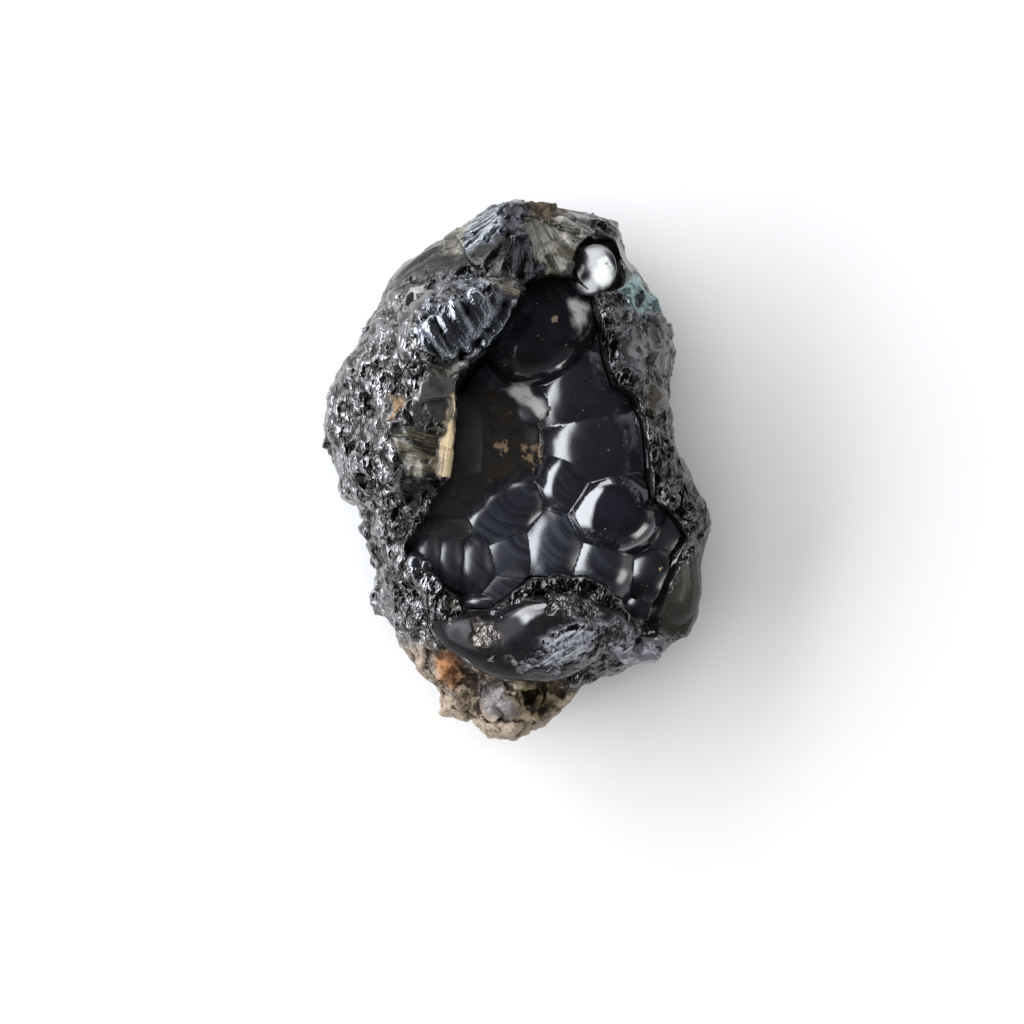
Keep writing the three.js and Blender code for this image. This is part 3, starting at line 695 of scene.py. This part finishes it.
SETTLED = (0.4, 4)  # the relief comes in over these heights, so that the flat back stays flat
STANDING_REACH = 14  # how many times a place is blurred, to tell what stands out from it


def relief_tree():
    """Geometry nodes that raise the cells, fibres and facets where the points are marked so."""
    tree = bpy.data.node_groups.new("relief", "GeometryNodeTree")
    for way in ("INPUT", "OUTPUT"):
        tree.interface.new_socket("Geometry", in_out=way, socket_type="NodeSocketGeometry")
    bench = Bench(tree)

    def mark(name, kind="FLOAT"):
        return bench.add(
            "GeometryNodeInputNamedAttribute", {"data_type": kind}, {"Name": name},
            out="Attribute",
        )

    where = bench.scaled(bench.add("GeometryNodeInputPosition"), 1 / MM)
    grain = mark("grain", "FLOAT_VECTOR")
    cells, fibres, flutes, facets, peel = (mark(name) for name in RELIEFS)
    sheltered = mark("sheltered")

    swell = (bench.noise(where, SWELL_SIZE) - 0.5) * (
        SWELL_ON_CELLS * cells + SWELL_ON_FACETS * facets + SWELL_ON_FIBRES * fibres
    )
    stray = bench.warped(where, *BEADS_ASTRAY)
    busy = bench.ramp(bench.noise(where, BUSY_SIZE), *BUSY_EDGE)
    beads = BEAD_MIDDLE - bench.bubbles(stray, BEAD_SIZE, BEAD_SOFTNESS)
    beads = beads * (CALM_BEADS + BUSY_BEADS * busy)
    beads = beads + bench.lobes(bench.warped(where, *LOBES_ASTRAY), LOBE_SIZE) * LOBES
    small = BEAD_MIDDLE - bench.bubbles(stray, SMALL_BEAD_SIZE, SMALL_BEAD_SOFTNESS)
    beads = beads + small * SMALL_BEADS * busy
    blades = bench.lobes(bench.stretched(grain, BLADES), 1) * BLADE_HEIGHT
    threads = bench.lobes(bench.stretched(grain, THREADS), 1) * THREAD_HEIGHT
    steps = bench.chips(bench.warped(where, *STEPS_ASTRAY), STEP_SIZE) * STEP_HEIGHT
    waves = bench.lobes(bench.stretched(grain, WAVES), 1, 0)
    breaks = bench.chips(where, BREAK_SIZE) * BREAK_HEIGHT
    breaks = breaks + bench.chips(where, SMALL_BREAK_SIZE) * SMALL_BREAK_HEIGHT
    raised = (
        swell + cells * beads + fibres * (blades + threads + steps)
        + flutes * waves * WAVE_HEIGHT + facets * breaks
        - peel * bench.flakes(grain) * FLAKE_DEPTH
    )
    settled = bench.ramp(bench.part_of(where, "Z"), *SETTLED)
    lift = (raised * (1 - sheltered) - WALL_SINK * sheltered) * settled * MM
    offset = bench.add("ShaderNodeVectorMath", {"operation": "SCALE"}, {
        "Vector": bench.add("GeometryNodeInputNormal"), "Scale": lift,
    })
    moved = bench.add(
        "GeometryNodeSetPosition", {}, {"Geometry": bench.add("NodeGroupInput"), "Offset": offset})

    place = bench.add("GeometryNodeInputPosition")
    blurred = bench.add("GeometryNodeBlurAttribute", {"data_type": "FLOAT_VECTOR"}, {
        "Value": place, "Iterations": STANDING_REACH,
    })
    proud = bench.vector("SUBTRACT", place, blurred)
    standing = bench.vector(
        "DOT_PRODUCT", proud, bench.add("GeometryNodeInputNormal"), out="Value") / MM
    stored = bench.add(
        "GeometryNodeStoreNamedAttribute", {"data_type": "FLOAT", "domain": "POINT"},
        {"Geometry": moved, "Name": "standing", "Value": standing},
    )
    tree.links.new(stored.socket, tree.nodes.new("NodeGroupOutput").inputs[0])
    return tree


# ---- The pocket's lining ----

def axes_of(shape):
    """A dome's own axes as the columns of a matrix."""
    azimuth, angle = (math.radians(v) for v in shape.lean)
    leaning = Matrix.Rotation(angle, 3, (-math.sin(azimuth), math.cos(azimuth), 0))
    return leaning @ Matrix.Rotation(math.radians(shape.turn), 3, "Z")


def centre_of(shape):
    return (*shape.middle, shape.crown - shape.half[2])


def ball(centre, half, detail, axes):
    """A ball or an egg, with its place and half sizes in millimetres."""
    bpy.ops.mesh.primitive_ico_sphere_add(
        subdivisions=detail, radius=1, location=[v * MM for v in centre],
        rotation=axes.to_euler(), scale=[h * MM for h in half],
    )
    return placed(bpy.context.object)


def hollow(top, reach):
    """The pocket without its domes, up to a height and wider than the mouth by a reach."""
    bpy.ops.mesh.primitive_circle_add(vertices=len(MOUTH), radius=1, fill_type="NGON")
    piece = bpy.context.object

    def deepen():
        for _ in POCKET_LEVELS[1:]:
            bpy.ops.mesh.extrude_region_move()

    with_all_selected(piece, deepen)
    mouth = np.array(MOUTH, float)
    along = np.roll(mouth, -1, axis=0) - np.roll(mouth, 1, axis=0)
    outward = np.stack([along[:, 1], -along[:, 0]], axis=1)
    mouth += reach * outward / np.linalg.norm(outward, axis=1)[:, None]
    middle = np.array(POCKET_MIDDLE, float)
    levels = []
    for height, share, slide in POCKET_LEVELS:
        ring = middle - (slide, 0) + share * (mouth - middle)
        levels.append(np.column_stack([ring, np.full(len(ring), min(height, top))]))
        top -= LEVEL_GAP
    set_points(piece, np.concatenate(levels))
    facing_out(piece)
    place, half = BEAD_HOLLOW
    small = ball(place, [h + reach for h in half], BEAD_HOLLOW_DETAIL, Matrix.Identity(3))
    return combined(piece, "UNION", small)


def marked_domes(piece):
    """Marks each point with its dome's finish, and with how far it lies from the dome's pole."""
    points = points_of(piece)
    nearest = np.full(len(points), np.inf)
    finish = np.zeros((4, len(points)))
    for number, shape in enumerate(DOMES.values()):
        axes = np.array(axes_of(shape))
        local = (points - centre_of(shape)) @ axes / shape.half
        reach = np.linalg.norm(local, axis=1)
        off = np.abs(reach - 1) * min(shape.half)
        mine = off < nearest
        nearest[mine] = off[mine]
        round_pole = np.arccos(np.clip(local @ (axes.T @ GROWTH_POLE) / reach, -1, 1))
        finish[0, mine] = (round_pole + number)[mine]
        finish[1:, mine] = np.array([[shape.rough], [shape.tone], [shape.dust]])
    for name, values in zip(("growth", "rough", "tone", "dust"), finish):
        marked(piece, name, values)
    flecks = np.zeros(len(points))
    bare, full = DUST_PATCH_EDGE
    for (x, y), size in DUST_PATCHES:
        away = np.hypot(points[:, 0] - x, points[:, 1] - y)
        flecks = np.maximum(flecks, eased(away, bare * size, full * size))
    marked(piece, "flecks", flecks)
    # Where a reflection is painted on the lining in pale grey.
    astray = wandering(points, PAINTED_SHEEN_WANDER)
    inside = [depth_inside(astray, outline) for outline in PAINTED_SHEEN.values()]
    marked(piece, "painted_sheen", eased(np.max(inside, axis=0), *PAINTED_SHEEN_EDGE))


def lining():
    """The domes as one mesh, inside the pocket and a little way into its wall."""
    wobble = grain_texture("dome wobble", "CLOUDS", DOME_WOBBLE_SIZE, noise_depth=1)
    parts = []
    for shape in DOMES.values():
        dome = ball(centre_of(shape), shape.half, DOME_DETAIL, axes_of(shape))
        parts.append(roughened(dome, wobble, DOME_WOBBLE))
    while len(parts) > 1:
        pairs = zip(parts[::2], parts[1::2])
        rest = parts[len(parts) // 2 * 2:]
        parts = [combined(first, "UNION", second) for first, second in pairs] + rest
    whole = combined(parts[0], "INTERSECT", hollow(POCKET_TOP, LINING_REACH))
    whole.name = "lining"
    marked_domes(whole)
    return whole


# ---- The rolls on the rim ----

def along_route(route, shares):
    """Places on a smooth curve through the points of a route."""
    route = np.array(route, float)
    padded = np.vstack([2 * route[0] - route[1], route, 2 * route[-1] - route[-2]])
    spot = np.clip(shares, 0, 1) * (len(route) - 1)
    first = np.minimum(spot.astype(int), len(route) - 2)
    t = (spot - first)[:, None]
    a, b, c, d = (padded[first + k] for k in range(4))
    return 0.5 * (
        2 * b + (c - a) * t + (2 * a - 5 * b + 4 * c - d) * t**2 + (3 * b - a - 3 * c + d) * t**3
    )


def roll(name, route, skin, segments, rings, ribs=0, rib_depth=0.0):
    """A smooth roll with round ends, bent along its route, with ribs round it."""
    bpy.ops.mesh.primitive_uv_sphere_add(segments=segments, ring_count=rings, radius=1)
    piece = bpy.context.object
    piece.name = name
    x, y, z = (points_of(piece) * MM).T
    share = np.arccos(np.clip(z, -1, 1)) / np.pi
    place = along_route(route, share)
    before, after = (along_route(route, share + step) for step in (-ROUTE_STEP, ROUTE_STEP))
    tangent = after[:, :3] - before[:, :3]
    tangent /= np.linalg.norm(tangent, axis=1)[:, None]
    side = np.cross((0, 0, 1), tangent)
    side /= np.linalg.norm(side, axis=1)[:, None]
    rise = np.cross(tangent, side)
    girth = np.hypot(x, y)
    wave = 1 + rib_depth * np.cos(2 * np.pi * ribs * share)
    radius = (place[:, 3] + skin) * wave * girth**ROLL_END_POWER
    turn = np.arctan2(y, x)
    out = (radius * np.cos(turn))[:, None] * side + (radius * np.sin(turn))[:, None] * rise
    set_points(piece, place[:, :3] + out)
    return facing_out(piece)


def lip(relief):
    piece = roll("lip", LIP, LIP_SKIN, segments=200, rings=240)
    wobble = grain_texture("lip wobble", "CLOUDS", LIP_WOBBLE_SIZE, noise_depth=1)
    roughened(piece, wobble, LIP_WOBBLE)
    dressed(piece, LIP_GLAZE, LIP_LOOKS, np.zeros(len(piece.data.vertices)))
    return worked(piece, "NODES", node_group=relief)


# ---- The stone ----

def filled_out(points):
    """The stone's points with its sides widened downwards and its bulges pushed out."""
    under_rim = np.clip(FLARE_TOP - points[:, 2:], 0, FLARE_DEPTH)
    points[:, :2] *= 1 + FLARE * under_rim
    for (x, y, z), push, size in BULGES:
        away = np.hypot(points[:, 0] - x, points[:, 1] - y)
        share = eased(away, size, BULGE_CORE * size)
        share *= eased(np.abs(points[:, 2] - z), *BULGE_HEIGHTS)
        points[:, :2] += share[:, None] * np.array(push, float)
    return points


def in_the_pocket(points):
    """How much each point belongs to the pocket's own wall, from 0 to 1."""
    (x, y, _), (half, _, _) = BEAD_HOLLOW
    in_mouth = depth_inside(points, MOUTH)
    in_bead = half - np.hypot(points[:, 0] - x, points[:, 1] - y)
    share = eased(np.maximum(in_mouth, in_bead), *WALL_EDGE)
    return share * eased(points[:, 2], *WALL_HEIGHTS)


def thinned(piece, plain):
    """Gives up faces, the readiest where the piece is plain."""
    group = piece.vertex_groups.new(name="thinning")
    group.add(np.nonzero(plain)[0].tolist(), PLAIN_THINNING, "REPLACE")
    group.add(np.nonzero(~plain)[0].tolist(), RICH_THINNING, "REPLACE")
    triangles = 2 * len(piece.data.polygons)
    worked(
        piece, "DECIMATE", ratio=min(1, STONE_FACES / triangles), vertex_group=group.name,
        vertex_group_factor=1.0, use_collapse_triangulate=True,
    )
    piece.vertex_groups.clear()
    return piece


def stone(relief):
    whole = added("stone", frame["nodes"]["hematite"].data.copy())
    with_all_selected(whole, lambda: bpy.ops.mesh.remove_doubles(threshold=WELD * MM))
    combined(whole, "DIFFERENCE", hollow(CLEARED_TOP, CLEARED_REACH))
    shoulder = roll("shoulder", SHOULDER, 0, segments=64, rings=240, ribs=10, rib_depth=0.035)
    ridge = roll("ridge", RIDGE, 0, segments=32, rings=160, ribs=8, rib_depth=0.18)
    whole = in_one_mesh([whole, shoulder, ridge])
    worked(whole, "REMESH", mode="VOXEL", voxel_size=VOXEL * MM)
    worked(whole, "SMOOTH", factor=0.5, iterations=4)
    points = filled_out(points_of(whole))
    set_points(whole, points)
    sheltered = in_the_pocket(points)
    dressed(whole, RIND, LOOKS, sheltered)
    worked(whole, "NODES", node_group=relief)
    return thinned(whole, (sheltered > SHELTERED_PLAIN) | (points[:, 2] < PLAIN_HEIGHT))


# ---- Materials ----

# The second colour is painted shade, the near black of the deepest creases.
DUST, CREASE_SHADE = (0.12, 0.104, 0.08, 1), (0.006, 0.0055, 0.005, 1)
BLACK = (0.006, 0.006, 0.008, 1), (0.013, 0.014, 0.019, 1)
SATIN = (0.014, 0.016, 0.022, 1), (0.064, 0.071, 0.087, 1)
VEIL, SPECK = (0.032, 0.026, 0.019, 1), (0.4, 0.36, 0.3, 1)
# The second colour is the pale grey of the reflection painted on the domes.
FLECK, PAINTED_SHEEN_GREY = (0.3, 0.21, 0.12, 1), (0.66, 0.67, 0.65, 1)
FLOOR = (0.9, 0.9, 0.9, 1), (0.92, 0.92, 0.91, 1)

IRON_IOR, EARTH_IOR, GLAZE_IOR = 2.2, 1.15, 2.3

# Sizes of the clouds, cells and chips in the two finishes, in millimetres.
PATCH_SIZE, GRIT_SIZE, BLOB_SIZE, FOLD_SIZE, RIPPLE_SIZE, DUST_SIZE = 2.6, 0.6, 2.1, 1.7, 0.7, 3.4
FINE_CHIPS, COARSE_CHIPS = 0.8, 1.6
DRIFT_SIZE, FILM_SIZE, SPARSE_SIZE, FLECK_SIZE, GLITTER_SIZE = 6, 4, 3, 1.3, 0.35
WAVER_SIZE, GRAIN_SIZE = 1.5, 0.3
CRUST_ASTRAY = (3, 3.5)  # the clouds that lead the fine crust astray, and their reach
SPECKS_PER_MM = 0.9
BANDS = 7  # growth bands for each radian from a dome's pole

SKIN_BUMP, GLAZE_BUMP = 0.5, 0.3  # how deep the finest relief seems, in millimetres


def new_material(name):
    """A material with a bench for its nodes, and its main shader."""
    material = bpy.data.materials.new(name)
    material.use_nodes = True
    tree = material.node_tree
    return material, Bench(tree), tree.nodes["Principled BSDF"]


def bumped(bench, strength, depth, height):
    return bench.add("ShaderNodeBump", {}, {
        "Strength": strength, "Distance": depth * MM, "Height": height,
    })


def stone_skin():
    """The crust, fibres, facets and matrix: bright iron, mixed with a duller earthy finish."""
    material, bench, shader = new_material("stone skin")
    where = bench.here()
    grain = bench.mark("grain", "Vector")
    tint, crease = bench.mark("tint", "Color"), bench.mark("crease", "Color")
    cells, fibres, flutes, facets, peel = (bench.mark(name) for name in RELIEFS)
    standing, sheltered, dull = (bench.mark(name) for name in ("standing", "sheltered", "dull"))

    patches = bench.noise(where, PATCH_SIZE, 3, 0.55) - 0.5
    grit = bench.noise(where, GRIT_SIZE, 2, 0.6) - 0.5
    threads = bench.noise(bench.stretched(grain, FINE_THREADS), 1, 3, 0.6) - 0.5
    melt = bench.warped(bench.stretched(where, MELT), *CRUST_ASTRAY)
    blobs = 0.4 - bench.bubbles(melt, BLOB_SIZE)
    folds = bench.lobes(melt, FOLD_SIZE)
    ripples = bench.noise(melt, RIPPLE_SIZE, 0, 0.4) - 0.5
    patch = bench.flakes(grain)
    bare = patch * peel

    # What stands out takes the tint, and what lies low the colour of the creases, partly dark
    # veins and partly painted shade. Dust settles on the crust, and the deepest creases get
    # painted shade, near black.
    level = 0.5 + standing * 1.4 + patches * 1.2 + grit * (0.3 + dull * 1.4)
    level = level + fibres * threads * 3.0 + cells * (blobs * 0.9)
    level = level + facets * (patch - 0.45) * (1 - dull) * 1.1
    level = level - peel * 2 + bare * (2.0 + threads * 1.5)
    colour = bench.mix(bench.ramp(level, 0.1, 0.95), crease, tint)
    dust = bench.noise(where, DUST_SIZE, 4, 0.65) - 0.61 - blobs * 0.25 - standing * 0.4
    dust = bench.ramp(dust, 0, 0.1) * cells
    colour = bench.mix(dust * 0.8, colour, DUST)
    # Painted shade: the deeper a place sinks below its surroundings, the nearer black it is
    # painted.
    deep = bench.ramp(standing, -0.12, -0.5)
    colour = bench.mix(deep * 0.85, colour, CREASE_SHADE)

    rough = bench.mark("rough") * 0.7 + patches * 0.08
    rough = rough + dust * 0.4 + deep * 0.15 + bare * 0.3
    metal = bench.mark("metal") * (1 - dust)

    # The finest relief, kind by kind. The pocket's own wall has none.
    chips = bench.chips(where, FINE_CHIPS) * 0.5 + bench.chips(where, COARSE_CHIPS) * 0.8
    fine = cells * (blobs * 1.1 + folds * 2.0 + ripples * 0.3)
    fine = fine + flutes * (ripples * 0.2 + folds * 0.3 + threads * 0.3)
    fine = fine + facets * (chips * 0.5 + threads * 0.2 + dull * grit * 0.9)
    fine = fine + fibres * (threads * 0.7 + chips * 0.15) + bare * (threads * 0.5 + chips * 0.2)
    bump = bumped(bench, 1.0, SKIN_BUMP, fine * (1 - sheltered))
    bench.fill(shader, {
        "Base Color": colour, "Roughness": rough, "Metallic": metal, "IOR": IRON_IOR,
        "Normal": bump,
    })
    iron = Wire(bench, shader.outputs["BSDF"])
    earth = bench.add("ShaderNodeBsdfPrincipled", {}, {
        "Base Color": colour, "Roughness": rough + 0.1, "IOR": EARTH_IOR, "Normal": bump,
    })
    both = bench.add("ShaderNodeMixShader", {}, (dull, iron, earth))
    bench.fill(bench.tree.nodes["Material Output"], {"Surface": both})
    return material


def dome_glaze():
    """The domes' black mirror, with growth bands where it is satin, dust on it, and a pale grey
    painted reflection.
    """
    material, bench, shader = new_material("dome glaze")
    where = bench.here()
    growth, tone = bench.mark("growth"), bench.mark("tone")
    drift = bench.noise(where, DRIFT_SIZE) - 0.5
    along_bands = bench.add("ShaderNodeCombineXYZ", {}, {"X": growth * BANDS + drift * 1.1})
    rings = bench.noise(along_bands, 1) - 0.5
    film = bench.noise(where, FILM_SIZE, 4, 0.6)
    black = bench.mix(bench.ramp(film, 0.3, 0.7), *BLACK)
    satin = bench.mix(bench.ramp(rings * tone, -0.1, 0.16), *SATIN)
    colour = bench.mix(tone, black, satin)

    # What lies on the glaze: a brown veil, sparse pale specks and ochre flecks, and a pale grey
    # painted reflection.
    veil = bench.mark("dust") * bench.ramp(film, 0.2, 0.65)
    cells = bench.add(
        "ShaderNodeTexVoronoi", {}, {"Vector": where, "Scale": SPECKS_PER_MM}, out="Distance")
    sparse = bench.ramp(bench.noise(where, SPARSE_SIZE), 0.56, 0.68)
    speck = bench.ramp(cells, 0.12, 0.07) * sparse
    flecks = bench.mark("flecks") * 0.22 + bench.noise(where, FLECK_SIZE, 4, 0.7)
    flecks = bench.ramp(flecks, 0.68, 0.73)
    glitter = bench.noise(where, GLITTER_SIZE, 3, 0.7)
    # Painted reflection: pale grey laid where the lining should mirror a bright window.
    painted_sheen = bench.mark("painted_sheen") * bench.ramp(film * 0.5 + glitter * 0.5, 0.32, 0.55)
    for share, cover in ((veil, VEIL), (speck, SPECK), (flecks, FLECK), (painted_sheen, PAINTED_SHEEN_GREY)):
        colour = bench.mix(share, colour, cover)

    rough = bench.mark("rough") + (glitter - 0.45) * 0.12 + flecks * 0.5
    rough = rough + painted_sheen * 0.3 + 0.05 * (film - 0.5) + speck * 0.4 + rings * tone * 0.06
    fine = bench.noise(where, WAVER_SIZE) * 0.03 + rings * tone * 0.05
    fine = fine + bench.noise(where, GRAIN_SIZE, 1) * 0.05
    bump = bumped(bench, 0.3, GLAZE_BUMP, fine)
    bench.fill(shader, {
        "Base Color": colour, "Roughness": rough, "IOR": GLAZE_IOR, "Normal": bump,
    })
    return material


def floor_paint():
    material, bench, shader = new_material("pale floor")
    where = bench.add("ShaderNodeTexCoord", out="Object")
    colour = bench.mix(bench.noise(where, FLOOR_CLOUDS), *FLOOR)
    bench.fill(shader, {"Base Color": colour, "Roughness": FLOOR_ROUGHNESS})
    return material


# ---- The studio ----

# The sky by its height, from 0 at the horizon to 1 straight up: two borders and three colours.
SKY_LOW, SKY_HIGH = (0.05, 0.3), (0.25, 0.7)
SKY = (0.5, 0.51, 0.54, 1), (0.1, 0.102, 0.11, 1), (0.02, 0.02, 0.022, 1)

# Windows in the sky: azimuth, elevation, half width and half height in degrees, how soft the
# edges are, and the light.
WINDOWS = {
    "main window": ((165, 29, 43, 20, 0.3), (5.1, 5.25, 5.5, 1)),
    "faint side window": ((12, 18, 24, 12, 0.4), (0.45, 0.45, 0.44, 1)),
    "low window behind": ((105, 17, 24, 8, 0.35), (3.6, 3.65, 3.8, 1)),
}
WINDOW_HORIZON = (0.0, 0.2)  # keeps a window from showing on the far side of the sky
CARD_EDGE = (0.0, 0.3)

# From here on in metres. A light is given by its place, its size, its watts and what it faces.
FLOOR_SIZE, FLOOR_CLOUDS, FLOOR_ROUGHNESS = 6, 0.4, 0.9
STONE_MIDDLE = (0, 0, 0.03)
CARD = ((0.040, -0.027, 0.041), (0.02, 0.012), 0.0022, (0.022, -0.012, 0.031))
OVERHEAD = ((0, 0, 1.2), (1.2, 1.2), 9, STONE_MIDDLE)
EYE, LENS = (-0.000925, -0.00805, 0.486), 85.5


def floor():
    bpy.ops.mesh.primitive_plane_add(size=FLOOR_SIZE)
    piece = bpy.context.object
    piece.name = "floor"
    piece.data.materials.append(floor_paint())


def panel(name, place, size, watts, target):
    """A light that faces a point, and that shows in nothing glossy."""
    light = added(name, bpy.data.lights.new(name, "AREA"))
    light.data.shape = "RECTANGLE"
    light.data.size, light.data.size_y = size
    light.data.energy = watts
    light.location = place
    light.rotation_euler = (Vector(target) - Vector(place)).to_track_quat("-Z", "Y").to_euler()
    light.visible_camera = False
    light.visible_glossy = False
    return light


def card(name, place, size, watts, target):
    """A small card with soft edges that shows only in what is glossy."""
    light = panel(name, place, size, watts, target)
    light.visible_glossy, light.visible_diffuse = True, False
    light.data.use_nodes = True
    bench = Bench(light.data.node_tree)
    across = bench.add("ShaderNodeNewGeometry", out="Parametric")
    share = 1
    for axis in ("X", "Y"):
        inwards = 0.5 - abs(bench.part_of(across, axis) - 0.5)
        share = share * bench.ramp(inwards, *CARD_EDGE)
    bench.fill(bench.tree.nodes["Emission"], {"Strength": share})


def soft_box(bench, sight, azimuth, elevation, width, height, softness):
    """A soft-edged window in the sky, from 0 to 1: its middle and half sizes are in degrees."""
    a, e = math.radians(azimuth), math.radians(elevation)
    ahead = (math.cos(a) * math.cos(e), math.sin(a) * math.cos(e), math.sin(e))
    right = (math.sin(a), -math.cos(a), 0)
    above = (-math.cos(a) * math.sin(e), -math.sin(a) * math.sin(e), math.cos(e))

    def part(axis):
        return bench.vector("DOT_PRODUCT", sight, axis, out="Value")

    depth = part(ahead)
    share = bench.ramp(depth, *WINDOW_HORIZON)
    for axis, half in ((right, width), (above, height)):
        reach = math.tan(math.radians(half))
        slant = abs(part(axis) / depth)
        share = share * bench.ramp(slant, reach * (1 + softness), reach * (1 - softness))
    return share


def world():
    scene = bpy.context.scene
    scene.world = bpy.data.worlds.new("studio air")
    scene.world.use_nodes = True
    bench = Bench(scene.world.node_tree)
    sight = bench.add("ShaderNodeTexCoord", out="Generated")
    up = bench.part_of(sight, "Z")
    low, middle, high = SKY
    colour = bench.mix(bench.ramp(up, *SKY_LOW), low, middle)
    colour = bench.mix(bench.ramp(up, *SKY_HIGH), colour, high)
    for shape, light in WINDOWS.values():
        colour = bench.mix(soft_box(bench, sight, *shape), colour, light)
    bench.fill(bench.tree.nodes["Background"], {"Color": colour})


def camera():
    eye = added("camera", bpy.data.cameras.new("camera"))
    eye.location = EYE
    eye.data.lens = LENS
    bpy.context.scene.camera = eye


camera()
floor()
world()
card("near card", *CARD)
panel("overhead fill", *OVERHEAD)
bpy.context.scene.view_settings.view_transform = "Standard"

relief = relief_tree()
skin, glaze = stone_skin(), dome_glaze()
for piece, material in [(stone(relief), skin), (lip(relief), skin), (lining(), glaze)]:
    only(piece)
    bpy.ops.object.shade_smooth()
    piece.data.materials.clear()
    piece.data.materials.append(material)
    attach(piece, "root")
    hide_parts("hematite")
